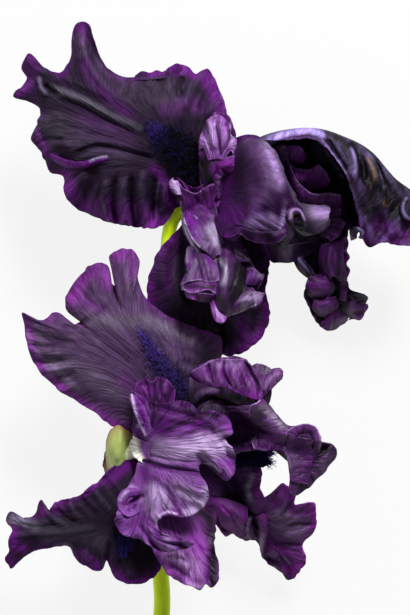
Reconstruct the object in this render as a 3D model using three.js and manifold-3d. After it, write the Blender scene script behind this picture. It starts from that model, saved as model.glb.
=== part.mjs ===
// A cut stem of bearded iris with two open blooms, lying on a table with its blooms to the sky.
// Millimetres, +Z up, +Y towards the upper bloom. Every contour below is drawn from above, as
// [right, up, height], on a sheet whose corner is left of and below the whole flower.
import * as THREE from "three";
import { mergeVertices } from "three/addons/utils/BufferGeometryUtils.js";
import Module from "manifold-3d";

const wasm = await Module();
wasm.setup();

// Driving dimensions
const PETAL_THICKNESS = 0.7;
const CLEARANCE = 0.35; // gap between a piece and the one it is seated on
const DEPTH_SCALE = 1.2; // a contour's heights are drawn at 1 : 1.2
const STEM_RADIUS = 4.3;
const TUBE_RADIUS = 3.7;
const BEARD_WIDTH = 5.6;
const BEARD_HEIGHT = 3.2;
const ALONG = 5; // cells from a petal's claw to its margin
const CONTOUR_STEPS = 240;
const LOBE_STEPS = 12; // how far along a contour its lobes are evened out
const LOBE_SHARE = 0.6;
const LONGEST_STRIDE = 4; // against the mean distance between the rays
const EVENNESS = 60; // square mm, for a stride that is twice the mean
const SHEET_MIDDLE = new THREE.Vector3(108, 141, 0); // the middle of the footprint, on the sheet

// Colours of the fresh parts
const FALL = { color: 0x2a1530, roughness: 0.75 };
const STANDARD = { color: 0x7a3a96, roughness: 0.55 };
const STYLE = { color: 0x9a5fae, roughness: 0.6 };
const BEARD = { color: 0x241a6e, roughness: 0.9 };
const GREEN = { color: 0x86a81e, roughness: 0.55 };
const SPATHE = { color: 0xc3d183, roughness: 0.6 };
const PAPER = { color: 0xb98f6a, roughness: 0.85 };

// Petals of the upper bloom, each from its claw at the throat to its ruffled margin

const upperFallFront = [
  [[104, 208, 47], [99, 203, 47]],
  [[107, 213, 48], [104, 219, 52], [97, 218, 54], [92, 211, 52], [94, 205, 48]],
  [[110, 218, 49], [108, 233, 55], [96, 242, 60], [80, 239, 63], [73, 227, 63], [77, 213, 60], [88, 203, 50]],
  [[111.5, 221, 50], [112, 238, 53], [104, 254, 57], [90, 258, 60], [68, 256, 63], [46, 261, 61], [34, 254, 60],
    [33, 241, 60], [41, 225, 61], [54, 211, 61], [70, 204, 57], [87, 202, 49]],
  [[112.5, 223, 50], [114.5, 238, 53], [113, 252, 52], [109, 263, 47], [104, 273, 44], [98, 270, 50],
    [91.5, 274.5, 52], [84, 272, 47], [75, 270, 48], [65, 267.5, 52], [57, 270, 54], [52, 275, 55],
    [48, 285, 54], [44.5, 294.5, 53], [39.5, 295.5, 52], [36.5, 288, 51], [36, 278, 51], [30, 270.5, 51],
    [22.5, 273, 49], [15, 280, 47], [11, 273, 46], [14, 267, 49], [7, 259, 47], [14, 256.5, 50],
    [21, 252, 52], [19, 245, 50], [16, 238, 46], [21, 231, 50], [26, 221, 47], [32, 219, 50], [33, 210, 55],
    [38, 203.5, 50], [46, 199.5, 46], [55, 196, 49], [62, 194.5, 54], [68, 194, 48], [75, 193, 53],
    [82, 195, 49], [86.5, 201, 48]],
];

const upperFallLow = [
  [[97, 201, 44], [102, 200, 43]],
  [[93, 196, 43.5], [92, 190, 45], [98, 186, 46], [104, 189, 44], [104, 197, 41]],
  [[92, 195.5, 43], [85, 180, 45], [87, 162, 46], [97, 150, 45], [108, 148, 43], [117, 153, 44], [121, 166, 42],
    [120, 182, 39], [106, 198.5, 40]],
  [[91.5, 195.2, 42.5], [80, 178, 43], [79, 158, 43], [88, 144, 41], [100, 138, 40], [110, 138, 36],
    [119, 139, 40], [128, 148, 40], [129, 162, 42], [130, 178, 38], [120, 193, 36], [107, 199, 39.5]],
  [[91, 195, 42], [84, 188, 43], [78, 179, 42], [74.5, 169, 41], [73.5, 158, 41], [76, 148, 40], [82, 140, 38],
    [92, 134, 37], [102, 131, 37], [110, 130.5, 33], [115, 129.5, 37], [123, 132, 40], [130, 138, 38],
    [134, 145, 36], [135, 153, 39], [133, 160, 42], [134, 170, 40], [135, 180, 36], [130, 190, 34],
    [120, 196, 36], [108, 199.5, 39]],
];

const upperFallBack = [
  [[102, 206, 43.5], [97, 205, 43.5]],
  [[107, 211, 37], [104, 216, 33], [97, 217, 31], [92, 211, 33], [93, 205, 37]],
  [[109, 213, 36], [106, 228, 27], [97, 238, 16], [82, 239, 8], [68, 230, 5], [72, 217, 8], [86, 206, 24],
    [92, 204, 33]],
  [[109.5, 213.5, 36], [107, 231, 27], [100, 248, 14], [82, 252, 6], [60, 250, 5], [46, 248, 5], [42, 232, 4],
    [50, 216, 4], [70, 209, 7], [84, 205, 22], [92, 203.5, 32.5]],
  [[110, 214, 36], [108, 230, 28], [104, 246, 18], [97, 257, 12], [88, 263, 6], [78, 262, 9], [68, 259, 3],
    [58, 262, 6], [48, 260, 9], [40, 262, 5], [33, 254, 2], [32, 246, 6], [27, 238, 0.4], [33, 229, 5],
    [38, 219, 1], [43, 209, 6], [52, 204, 3], [62, 203, 8], [72, 205, 9], [82, 203, 20], [92, 203, 32]],
];

const upperStandardFront = [
  [[101, 206.5, 48], [102, 203, 47.5]],
  [[109, 219, 57], [114, 218, 63], [117, 210, 66], [113, 202, 62], [108, 199.5, 55]],
  [[112, 227, 60], [121, 230, 74], [129, 224, 81], [132, 212, 84], [126, 200, 82], [116, 194, 73],
    [108, 199, 57]],
  [[113.5, 231, 61], [124, 235, 71], [132, 229, 76], [137, 219, 78], [140, 208, 78], [143, 199, 76],
    [141, 191, 77], [132, 190, 77], [122, 193, 77], [113, 192, 69], [107.5, 198.5, 57.5]],
  [[115, 235, 62], [119, 237.5, 64], [126, 238.5, 64], [133, 235, 62], [139, 227, 60], [143, 217, 60],
    [146.5, 210, 61], [150, 204, 60], [157, 202.5, 62], [163, 200, 60], [163.5, 194, 57], [157, 190, 61],
    [151, 189.5, 58], [147, 193, 64], [145, 188, 70], [142, 184.5, 72], [138.5, 184, 77], [134, 187, 69],
    [130, 187, 75], [126, 190, 70], [121, 190.5, 76], [117, 186, 72], [112, 187.5, 70], [109, 192, 64],
    [107, 198, 58]],
];

const upperStandardLow = [
  [[94, 204, 46], [98, 201, 49]],
  [[91, 199, 49], [97, 199, 55], [104, 200, 53]],
  [[92, 191.5, 52], [97, 190, 58], [104, 190, 61], [111, 191, 59], [115, 194, 56]],
  [[95.5, 184.5, 56], [99, 175, 62], [101, 169, 67], [107, 166, 68], [112, 166, 68], [119, 169, 66],
    [122, 178, 60], [119, 187, 57]],
  [[96.5, 182, 57.5], [93, 179, 57], [93, 171, 61], [90.5, 165, 63], [93, 161, 69], [98, 158.5, 73],
    [103, 158, 65], [106, 154, 65], [107.5, 148, 69], [111, 146, 73], [113.5, 149, 67], [118, 151, 61],
    [124, 155, 65], [127, 153, 71], [131, 157, 67], [128, 161, 61], [130, 167, 67], [127, 173, 63],
    [122, 183, 58]],
];

const upperStandardRight = [
  [[101, 206, 44.5], [101, 203, 44]],
  [[111, 216, 43], [118, 215, 38], [121, 208, 36], [117, 202, 37], [110, 201, 41]],
  [[115, 226, 44], [128, 229, 40], [142, 226, 33], [152, 213, 30], [150, 199, 29], [136, 193, 31],
    [122, 197, 35], [111.5, 200, 40]],
  [[117, 231, 46], [132, 239.5, 48], [143, 242, 50], [155, 243, 50], [166, 241, 49], [175, 237, 48],
    [184, 233.5, 47], [191, 225, 47], [198, 217, 47], [206, 211.5, 45], [213, 206, 42], [214.5, 200, 39],
    [208, 200, 34], [196, 200, 31], [184, 200, 31], [174, 198, 32], [169, 190, 31], [168, 180, 28],
    [167, 170, 23], [168, 160, 16], [163, 151, 8], [157, 160, 16], [155, 170, 23], [150, 180, 28],
    [138, 184, 31], [126, 191, 35], [112.5, 199.5, 39.5]],
  [[118, 233, 48], [130, 236.5, 54], [143, 236.5, 57], [155, 237, 59], [163, 232, 61], [170, 222, 63],
    [175, 210, 63], [178, 198, 60], [180, 190, 57], [184, 183.5, 54], [190, 186, 57], [197, 184.5, 52],
    [205, 184.5, 52], [211, 188, 48], [214, 195, 42], [208, 196, 36], [196, 194, 33], [184, 194, 34],
    [175, 193, 38], [174, 186, 34], [173.5, 178, 32], [174, 168, 25], [176, 163, 21], [184, 160, 23],
    [185, 157, 17], [178, 153, 10], [174, 150, 6], [171, 143, 0.4], [165, 142.5, 4], [160, 146, 10],
    [155, 155, 16], [153, 162, 20], [158, 170, 24], [152, 177, 28], [143, 176.5, 31], [137, 178, 32],
    [132, 184, 33], [122, 193, 36], [114, 199, 39]],
];

const upperStyleFront = [
  [[99, 206, 48.5], [99.5, 204, 48.5]],
  [[101, 211, 55], [104, 216, 60], [109, 215, 60], [110, 209, 57]],
  [[100.5, 214, 56], [102, 226, 61], [108, 232, 66], [114, 226, 65], [116, 216, 61], [112, 209.5, 57]],
  [[100, 216, 56], [99.5, 226, 60], [99.5, 236, 64], [103, 243, 61], [107, 249, 66], [112, 249.5, 62],
    [115.5, 245, 67], [117.5, 238, 64], [117.5, 230, 68], [115.5, 227, 65], [118, 222, 67], [117.5, 218, 63],
    [113, 210, 57]],
];

const upperStyleLow = [
  [[99, 205, 51], [102, 203, 51]],
  [[94, 204, 52], [95, 208, 55], [100, 208.5, 57], [104.5, 206, 56], [104.5, 202, 54]],
  [[89, 205, 52], [86, 210, 53], [85, 215, 57], [86, 219, 54], [90, 217, 58], [94, 214, 55],
    [98, 213, 60], [102, 215, 57], [106, 214, 60], [109, 210, 56], [109.5, 204, 58], [107, 199, 54]],
];

const upperStyleRight = [
  [[99, 206, 46.5], [99, 203.5, 46.5]],
  [[112, 209.5, 47], [116, 206, 49], [112, 202, 46]],
  [[118, 214, 46], [122, 217.5, 49], [127, 218, 51], [125, 213, 49], [130, 209, 52], [125, 204, 48],
    [127, 199, 51], [121, 197.5, 48], [118, 199, 45]],
];

// Petals of the lower bloom

const lowerFallTop = [
  [[76, 84, 50], [71, 85, 49]],
  [[83, 92, 47], [84, 99, 50], [80, 102, 52], [74, 99, 51], [70.5, 90, 47]],
  [[93, 104, 43], [100, 118, 46], [97, 126, 52], [88, 128, 57], [78, 122, 58], [70, 112, 55], [67, 98, 49],
    [69, 89.5, 46]],
  [[98, 112, 42], [105, 127, 45], [100, 135, 50], [89, 141, 55], [77, 147, 60], [62, 151, 61], [48, 143, 61],
    [42, 130, 60], [48, 114, 57], [60, 99, 50], [68.5, 89, 45.5]],
  [[100, 116, 41], [109, 124, 41], [111, 130, 41], [111, 134, 44], [110.5, 139, 46], [100, 143, 50],
    [89, 147, 50], [82, 151, 51], [75, 156, 52], [71.5, 161, 53], [69, 169, 55], [70, 177, 56], [67, 182, 55],
    [62.5, 183, 54], [58, 181.5, 53], [55, 178.5, 52], [58.5, 173, 53], [59.5, 167.5, 54], [58, 164, 54],
    [56, 166, 54], [55.5, 171, 55], [54, 175, 56], [50.5, 176, 56], [45.5, 174.5, 55], [41, 170, 53],
    [36.5, 164, 52], [33.5, 159, 52], [33.5, 153, 51], [37, 149.5, 52], [41.5, 147, 54],
    [37.5, 145.5, 55], [34, 147.5, 53], [30, 151, 50], [26.5, 151, 50], [23, 147.5, 52], [17, 148, 53],
    [12, 151, 50], [12.5, 145, 49], [14.5, 134, 50], [17, 127, 47], [20.5, 121.5, 51], [25, 117, 48],
    [31, 112, 51], [37.5, 108, 49], [46, 103, 52], [54.5, 96, 50], [61, 92, 47], [66, 90, 45], [68, 88.5, 45]],
];

const lowerFallLeft = [
  [[67, 82, 45], [69, 78, 44]],
  [[62, 78, 46], [60, 72, 48], [63, 66, 50], [68, 64, 50], [73, 68, 48], [75, 74, 44]],
  [[61, 77.8, 45.5], [52, 66, 49], [48, 56, 51], [51, 48, 53], [58, 42, 54], [66, 43, 53], [73, 52, 50],
    [76, 64, 46], [76, 73, 43]],
  [[60.5, 77.6, 45], [50, 65, 48], [38, 57, 49], [28, 49, 48], [20, 44, 47], [21, 38, 48], [32, 38, 50],
    [45, 37, 51], [56, 33, 52], [64, 27, 52], [73, 28, 50], [79, 38, 47], [80, 54, 44], [79, 65, 43],
    [76.5, 72.5, 42.5]],
  [[60, 77.4, 45], [54, 72, 48], [49, 67, 47], [43, 63, 50], [39, 59.5, 47], [35, 59, 50], [31, 58, 46],
    [27, 56, 50], [24.5, 53, 47], [20.5, 58, 43], [17.5, 50, 42], [12, 48.5, 42], [5, 51.5, 40],
    [2.5, 47.5, 40], [6, 42.5, 43], [4, 35, 44], [4.5, 31.5, 43], [2.5, 28.5, 42], [5.5, 23.5, 42],
    [9, 26.5, 44], [14, 30.5, 45], [19, 33, 46], [25, 34, 47], [30, 35, 46], [35, 34.5, 45], [38, 28.5, 44],
    [43, 25, 45], [47, 22.5, 46], [51, 23, 46], [53.5, 28, 47], [56.5, 21.5, 49], [60, 18, 50], [64, 16, 49], [70, 16.5, 48], [75.5, 18.5, 48], [79.5, 22.5, 47], [83, 34, 44],
    [84, 48, 42], [82, 62, 42], [77, 72, 42]],
];

const lowerFallRight = [
  [[73, 83.5, 46], [72, 80.5, 45]],
  [[86, 83, 42], [94, 80, 38], [93, 73, 37], [84, 72, 38]],
  [[93, 84, 42], [110, 80, 40], [117, 73, 36], [116, 63, 31], [109, 56, 29], [98, 61, 31], [86, 70.5, 37]],
  [[97, 84, 42], [114, 80.5, 41], [123, 73, 39], [121, 64, 35], [123, 54, 31], [130, 49, 29], [139, 46, 27],
    [143, 40, 24], [144, 33, 19], [143, 25, 15], [137, 30, 16], [132, 38, 20], [124, 41, 20], [113, 45, 23],
    [100, 57, 30], [86, 70, 36.5]],
  [[100, 84, 42], [115, 81.5, 42], [128, 77, 42], [131, 70, 42], [130.5, 63, 38], [133, 57.5, 36], [137, 61, 38],
    [141, 65.5, 39], [145, 63.5, 36], [148, 60, 33], [148, 54.5, 31], [152, 55, 33], [157, 55.5, 32],
    [159, 47, 26], [157, 39, 22], [152.5, 34, 20], [154, 26, 20], [151.5, 20, 16], [148, 15.5, 12],
    [144.5, 14.5, 10], [141, 19, 13], [136, 21.5, 8], [131.5, 27, 13], [131, 32, 18], [128, 35, 14],
    [122.5, 34.5, 10], [117, 38, 14], [112.5, 37.5, 19], [108, 44, 24], [98, 57, 31], [86.5, 69, 36]],
];

const lowerStandardFront = [
  [[67.5, 85, 49], [69.5, 83.5, 50], [69.5, 81.5, 49]],
  [[67.5, 89.5, 54], [70, 94, 58], [76, 94, 61], [81, 87, 63], [79, 78, 62], [73, 74, 59], [69.5, 77, 54.5]],
  [[67, 91, 55], [69, 101, 61], [80, 102, 66], [92, 95, 69], [96, 85, 70], [91, 75, 68], [83, 66, 67],
    [74, 60, 65], [68, 65, 61], [68, 71, 58], [69, 76.5, 54.5]],
  [[66.8, 91.7, 55.5], [67.5, 100, 60], [69, 107, 62], [80, 104, 64], [95, 101, 68], [108, 96, 70],
    [110, 88, 71], [108, 79, 69], [99, 78, 68], [97, 70, 71], [98, 63, 70], [92, 58, 68], [84, 57, 66],
    [77, 54, 65], [74, 48, 66], [76, 42, 66], [71, 42, 65], [65, 47, 65], [63, 54, 63],
    [65, 61, 62], [68, 68, 59], [69, 76, 54]],
  [[66.5, 92.5, 56], [67.5, 101, 60], [65, 111, 61], [67, 113, 65], [72, 110, 61], [79, 107, 64],
    [86, 107.5, 67], [92, 108, 65], [97, 105.5, 70], [100, 102, 66], [107, 103.5, 70], [113.5, 99.5, 67],
    [116, 92, 72], [113, 90.5, 67], [113.5, 88, 70], [116, 85, 72], [117.5, 78, 67], [115.5, 71, 71],
    [112.5, 69, 67], [109, 71.5, 62], [104, 76, 62], [100.5, 77, 66], [99.5, 73, 70], [103, 68, 72],
    [104.5, 62, 71], [101, 55, 67], [93, 51, 68], [86, 51.5, 65], [81, 51, 67], [79.5, 47, 66], [81.5, 43, 67],
    [88, 41, 66], [97, 38.5, 68], [95, 36, 63], [89, 34.5, 66], [82, 33.5, 61], [75, 37, 66], [70, 40, 62],
    [63.5, 41.5, 66], [58.5, 47, 61], [58.5, 51.5, 65], [60, 57, 60], [61, 62.5, 63], [65, 66, 59],
    [68, 70, 57], [69, 75.5, 54]],
];

const lowerStandardLow = [
  [[72, 80, 48], [74, 77, 47]],
  [[73, 72, 50], [78, 68, 52], [84, 68, 52], [88, 73, 49]],
  [[73.5, 58, 53], [78, 48, 58], [86, 46, 59], [94, 50, 57], [98, 60, 53], [95, 69, 49]],
  [[74.5, 46, 55], [79, 36, 57], [86, 29, 58], [96, 27, 58], [102, 33, 55], [104, 46, 52], [103, 58, 50],
    [98, 67.5, 48]],
  [[75, 40, 56], [77, 33, 57], [80, 28, 55], [84, 22, 58], [90, 18, 55], [96, 16, 58], [100, 14, 55],
    [103, 17, 57], [106, 15, 54], [109, 18, 55], [109, 27, 52], [107, 36, 54], [108, 46, 49], [106.5, 56, 50],
    [99, 67, 47.5]],
];

const lowerStandardRight = [
  [[76, 84, 46], [77, 80, 45]],
  [[90, 96, 45], [98, 95, 43], [104, 90, 42], [100, 83, 44]],
  [[95, 108, 52], [106, 109, 50], [116, 105, 46], [124, 98, 46], [122, 90, 46], [112, 83.5, 46]],
  [[95, 117, 62], [103, 115, 67], [113, 111, 70], [122, 107, 70], [126, 103, 68], [130, 98, 65],
    [138, 93, 64], [146, 90, 66], [152, 86, 66], [156, 80, 62], [154, 74, 60], [149, 70, 61], [147, 77, 63],
    [143, 86, 61], [136, 88.5, 60], [128, 89, 57], [121, 85, 52], [116, 82, 48]],
  [[94.5, 121, 66], [99, 125, 68], [104, 127.5, 72], [109, 129, 70], [114, 129.5, 74], [118, 130, 70],
    [122, 129, 73], [125, 125, 69], [129, 123, 72], [133, 123, 69], [137, 124, 71], [139.5, 124, 72],
    [141, 120.5, 72], [138, 117, 70], [133, 112, 68], [130, 107, 66], [133, 104.5, 62], [138, 101, 60],
    [143, 95.5, 62], [150, 96, 66], [156, 95.5, 68], [159, 91, 70], [159.5, 88, 68], [164.5, 86.5, 62],
    [167.5, 83.5, 60], [165, 77, 58], [159, 70, 56], [153, 64.5, 58], [147, 61, 60], [144, 62, 62],
    [144, 70, 64], [143, 77, 64], [141.5, 82, 62], [137.5, 83, 60], [131, 83, 58], [127.5, 85.5, 58],
    [124, 84, 54], [118, 81, 48]],
];

const lowerStyleTop = [
  [[72, 86, 52], [75, 84, 52]],
  [[71, 94, 54], [74, 99, 56], [80, 99, 57], [83, 94, 54]],
  [[70, 97, 55.5], [68, 107, 57], [68, 115, 61], [72, 119, 58], [76, 117.5, 62], [80, 119.5, 58],
    [84, 118, 61], [87.5, 114, 57], [87, 106, 58], [85, 97, 53]],
];

const lowerStyleRight = [
  [[76, 84, 50], [77, 82, 50]],
  [[85, 91, 52], [90, 91, 54], [94, 88, 53], [95, 84, 51]],
  [[92, 97, 54], [97, 102, 57], [101, 106, 56], [106, 108, 59], [111, 107, 56], [113.5, 103, 58],
    [113, 98, 55], [114, 92, 56], [111, 86, 52]],
];

const lowerStyleLeft = [
  [[72, 80.5, 49], [74, 79, 49]],
  [[68, 72, 52], [71, 66, 56], [76, 66, 55], [79, 70, 51]],
  [[65, 66, 53], [63, 62, 55], [63.5, 57, 59], [67, 55.5, 56], [70, 52, 60], [75, 51, 56], [79, 53, 59],
    [83, 57, 54], [84, 65, 51]],
];

// Bracts that wrap the foot of each bloom

const upperSpathe = [
  [[90.5, 149, 32], [85.5, 149, 38], [80.5, 149, 32]],
  [[91, 156, 33], [85, 157, 39], [79, 156, 33]],
  [[91, 162, 34], [88.5, 169, 37.5], [84, 172, 40.4], [79.5, 169, 37.5], [78, 162, 34]],
  [[91, 165, 35], [89, 173, 37.5], [84, 181, 40.8], [79, 173, 37.5], [77.8, 165, 35]],
];

const lowerSpathe = [
  [[64, 65, 33], [59.5, 65, 39], [55, 66, 33]],
  [[65.5, 71, 37], [59.5, 72, 45], [54, 72, 37]],
  [[67, 78, 41], [64, 84, 48], [59.5, 86, 51], [55.5, 83, 48], [53, 79, 41]],
  [[67, 83, 43], [66.5, 89, 47], [63.5, 93, 49], [59.5, 95.5, 50], [56, 93, 48], [53.5, 88, 45],
    [53, 83, 42]],
];

const lowerPaperBract = [
  [[55, 64, 31], [53, 66, 29]],
  [[54, 71, 34], [51.8, 72, 32.5]],
  [[54.5, 75, 36.5], [54, 80, 38], [52.6, 82, 38], [51.8, 78, 36.5], [51, 74, 34]],
];

// A contour as a smooth curve through its points
function curveThrough(points) {
  const corners = points.map(([right, up, height]) => new THREE.Vector3(right, up, height * DEPTH_SCALE));
  return new THREE.CatmullRomCurve3(corners, false, "centripetal");
}

// Points along a contour, spread so that a deep lobe takes a fair share of them and no more
function spread(points, count) {
  const fine = curveThrough(points).getSpacedPoints(CONTOUR_STEPS);
  const soft = fine.map((_, k) => {
    const reach = Math.min(LOBE_STEPS, k, CONTOUR_STEPS - k);
    const sum = new THREE.Vector3();
    for (let n = k - reach; n <= k + reach; n++) sum.add(fine[n]);
    return sum.divideScalar(2 * reach + 1);
  });
  const walk = (line) => {
    const walked = [0];
    for (let k = 1; k < line.length; k++) walked.push(walked[k - 1] + line[k].distanceTo(line[k - 1]));
    return walked.map((length) => length / walked[walked.length - 1]);
  };
  const [whole, outline] = [walk(fine), walk(soft)];
  const share = whole.map((length, k) => LOBE_SHARE * length + (1 - LOBE_SHARE) * outline[k]);
  const placed = [];
  let k = 0;
  for (let j = 0; j <= count; j++) {
    while (k < CONTOUR_STEPS - 1 && share[k + 1] < j / count) k++;
    const part = Math.min(1, Math.max(0, (j / count - share[k]) / (share[k + 1] - share[k])));
    placed.push(fine[k].clone().lerp(fine[k + 1], part));
  }
  return placed;
}

// Points along an inner contour, each as near as can be to its partner further out, at fairly even steps
function follow(points, partners) {
  const fine = curveThrough(points).getSpacedPoints(CONTOUR_STEPS);
  const last = partners.length - 1;
  const stride = CONTOUR_STEPS / last;
  const longest = Math.ceil(LONGEST_STRIDE * stride);
  let cost = fine.map((_, k) => (k === 0 ? 0 : Infinity));
  const from = [];
  for (let j = 1; j <= last; j++) {
    const next = [];
    const chosen = [];
    for (let k = 0; k <= CONTOUR_STEPS; k++) {
      let best = Infinity;
      for (let step = 0; step <= Math.min(k, longest); step++) {
        const total = cost[k - step] + EVENNESS * (step / stride - 1) ** 2;
        if (total < best) {
          best = total;
          chosen[k] = k - step;
        }
      }
      next[k] = best + fine[k].distanceToSquared(partners[j]);
    }
    cost = next;
    from.push(chosen);
  }
  const placed = [fine[CONTOUR_STEPS]];
  let k = CONTOUR_STEPS;
  for (let j = last - 1; j >= 0; j--) {
    k = from[j][k];
    placed.unshift(fine[k]);
  }
  return placed.map((point, n) => (
    point.clone().add(placed[Math.max(n - 1, 0)]).add(placed[Math.min(n + 1, last)]).divideScalar(3)));
}

// A petal's middle surface as rows of points: each row is a ray from the claw to the margin
function loft(contours, around, along = ALONG) {
  const lines = [spread(contours[contours.length - 1], around)];
  for (let c = contours.length - 2; c >= 0; c--) lines.unshift(follow(contours[c], lines[0]));
  const rays = [];
  for (let j = 0; j <= around; j++) {
    const knots = lines.map((line) => line[j]);
    rays.push(new THREE.CatmullRomCurve3(knots, false, "centripetal").getSpacedPoints(along));
  }
  return rays;
}

// Unit normals of a lofted surface, evened out between neighbours so that tight folds keep their thickness
function normalsOf(rays, rounds = 3) {
  const last = rays.length - 1;
  const end = rays[0].length - 1;
  let normals = rays.map((ray, j) => ray.map((_, i) => {
    const across = rays[Math.min(j + 1, last)][i].clone().sub(rays[Math.max(j - 1, 0)][i]);
    const outward = ray[Math.min(i + 1, end)].clone().sub(ray[Math.max(i - 1, 0)]);
    return across.cross(outward).normalize();
  }));
  for (let round = 0; round < rounds; round++) {
    normals = normals.map((row, j) => row.map((normal, i) => normal.clone()
      .add(normals[Math.max(j - 1, 0)][i])
      .add(normals[Math.min(j + 1, last)][i])
      .add(row[Math.max(i - 1, 0)])
      .add(row[Math.min(i + 1, end)])
      .normalize()));
  }
  return normals;
}

function geometryFrom(points, faces) {
  const geometry = new THREE.BufferGeometry();
  const positions = points.flatMap((point) => point.toArray());
  geometry.setAttribute("position", new THREE.Float32BufferAttribute(positions, 3));
  geometry.setIndex(faces);
  return geometry;
}

// A closed blade of one thickness about a lofted surface, its two faces split alike
function bladeGeometry(rays, thickness) {
  const normals = normalsOf(rays);
  const around = rays.length - 1;
  const along = rays[0].length - 1;
  const face = (offset) => rays.flatMap((ray, j) => (
    ray.map((point, i) => point.clone().addScaledVector(normals[j][i], offset))));
  const points = [...face(-thickness / 2), ...face(thickness / 2)];
  const half = points.length / 2;
  const at = (j, i) => j * (along + 1) + i;
  const faces = [];
  for (let j = 0; j < around; j++) {
    for (let i = 0; i < along; i++) {
      const [a, b, c, d] = [at(j, i), at(j + 1, i), at(j + 1, i + 1), at(j, i + 1)];
      faces.push(a, c, b, a, d, c, half + a, half + b, half + c, half + a, half + c, half + d);
    }
  }
  const rim = [];
  for (let j = 0; j < around; j++) rim.push(at(j, 0));
  for (let i = 0; i < along; i++) rim.push(at(around, i));
  for (let j = around; j > 0; j--) rim.push(at(j, along));
  for (let i = along; i > 0; i--) rim.push(at(0, i));
  rim.forEach((a, k) => {
    const b = rim[(k + 1) % rim.length];
    faces.push(a, b, half + b, a, half + b, half + a);
  });
  return geometryFrom(points, faces);
}

// A closed rod along a path: radius(t) is its half width and flatness its height against its width
function rodGeometry(path, radius, sides, rings, flatness = 1) {
  const points = [];
  const faces = [];
  for (let k = 0; k <= rings; k++) {
    const t = k / rings;
    const heading = path.getTangentAt(t);
    const side = heading.clone().cross(new THREE.Vector3(0, 0, 1)).normalize();
    const over = side.clone().cross(heading);
    for (let s = 0; s < sides; s++) {
      const angle = (s / sides) * 2 * Math.PI;
      const reach = radius(t, s, k);
      points.push(path.getPointAt(t)
        .addScaledVector(side, Math.cos(angle) * reach)
        .addScaledVector(over, Math.sin(angle) * reach * flatness));
    }
  }
  for (let k = 0; k < rings; k++) {
    for (let s = 0; s < sides; s++) {
      const [a, b] = [k * sides + s, k * sides + (s + 1) % sides];
      faces.push(a, b + sides, b, a, a + sides, b + sides);
    }
  }
  const end = rings * sides;
  points.push(path.getPointAt(0), path.getPointAt(1));
  for (let s = 0; s < sides; s++) {
    const next = (s + 1) % sides;
    faces.push(points.length - 2, s, next, points.length - 1, end + next, end + s);
  }
  return geometryFrom(points, faces);
}

function solidOf(geometry) {
  const merged = mergeVertices(geometry, 1e-4);
  return new wasm.Manifold(new wasm.Mesh({
    numProp: 3,
    vertProperties: merged.attributes.position.array,
    triVerts: new Uint32Array(merged.index.array),
  }));
}

const flower = new THREE.Group();
flower.position.copy(SHEET_MIDDLE).negate();
const seated = [];

// Adds a piece, cut back wherever it comes closer than the clearance to one that is already there
function seat(name, look, build) {
  let solid = build(0);
  for (const other of seated) solid = solid.subtract(other);
  const whole = solid.decompose().sort((a, b) => b.volume() - a.volume())[0];
  seated.push(build(CLEARANCE));
  const { vertProperties, triVerts } = whole.getMesh();
  const geometry = new THREE.BufferGeometry();
  geometry.setAttribute("position", new THREE.Float32BufferAttribute(vertProperties, 3));
  geometry.setIndex([...triVerts]);
  const mesh = new THREE.Mesh(geometry, new THREE.MeshStandardMaterial({ ...look, metalness: 0 }));
  mesh.name = name;
  flower.add(mesh);
}

function seatBlade(name, look, contours, around) {
  const rays = loft(contours, around);
  seat(name, look, (growth) => solidOf(bladeGeometry(rays, PETAL_THICKNESS + 2 * growth)));
}

function seatRod(name, look, points, radius, sides, rings) {
  const path = curveThrough(points);
  seat(name, look, (growth) => solidOf(rodGeometry(path, (t) => radius(t) + growth, sides, rings)));
}

// Stem, branch and the two flower tubes
const stemPath = [[79.5, -12.5, 3.6], [80.5, 4, 5.4], [79, 24, 10], [77, 46, 15], [78, 80, 19], [81, 112, 23],
  [84.5, 140, 30], [85.5, 152, 33]];
seatRod("stem", GREEN, stemPath, (t) => STEM_RADIUS * (1 - 0.12 * t), 12, 12);
seatRod("branch", GREEN, [[76.5, 46, 16], [69, 55, 20], [60, 62, 28], [59, 68, 34]], () => 3.6, 10, 5);
seatRod("upper_tube", GREEN, [[85.4, 153.5, 33.4], [83.5, 168, 35], [82.5, 184, 37.5], [86, 198, 42], [94, 204, 45.5],
  [100, 204.5, 46]], (t) => TUBE_RADIUS * (1 + 0.25 * Math.sin(Math.PI * Math.min(1, 3 * t))), 10, 9);
seatRod("lower_tube", GREEN, [[59.5, 69.5, 35], [61, 77, 41], [65.5, 82, 45], [71.5, 82.5, 47]],
  (t) => TUBE_RADIUS * (0.95 + 0.2 * Math.sin(Math.PI * t)), 10, 5);
seatBlade("upper_spathe", SPATHE, upperSpathe, 10);
seatBlade("lower_spathe", SPATHE, lowerSpathe, 12);
seatBlade("lower_paper_bract", PAPER, lowerPaperBract, 8);

// Petals and style arms
seatBlade("upper_fall_front", FALL, upperFallFront, 42);
seatBlade("upper_fall_low", FALL, upperFallLow, 24);
seatBlade("upper_fall_back", FALL, upperFallBack, 22);
seatBlade("lower_fall_top", FALL, lowerFallTop, 42);
seatBlade("lower_fall_left", FALL, lowerFallLeft, 38);
seatBlade("lower_fall_right", FALL, lowerFallRight, 32);
seatBlade("upper_standard_right", STANDARD, upperStandardRight, 42);
seatBlade("upper_standard_front", STANDARD, upperStandardFront, 30);
seatBlade("upper_standard_low", STANDARD, upperStandardLow, 26);
seatBlade("lower_standard_right", STANDARD, lowerStandardRight, 38);
seatBlade("lower_standard_front", STANDARD, lowerStandardFront, 44);
seatBlade("lower_standard_low", STANDARD, lowerStandardLow, 18);
seatBlade("upper_style_front", STYLE, upperStyleFront, 14);
seatBlade("upper_style_low", STYLE, upperStyleLow, 12);
seatBlade("upper_style_right", STYLE, upperStyleRight, 9);
seatBlade("lower_style_top", STYLE, lowerStyleTop, 11);
seatBlade("lower_style_right", STYLE, lowerStyleRight, 10);
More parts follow.
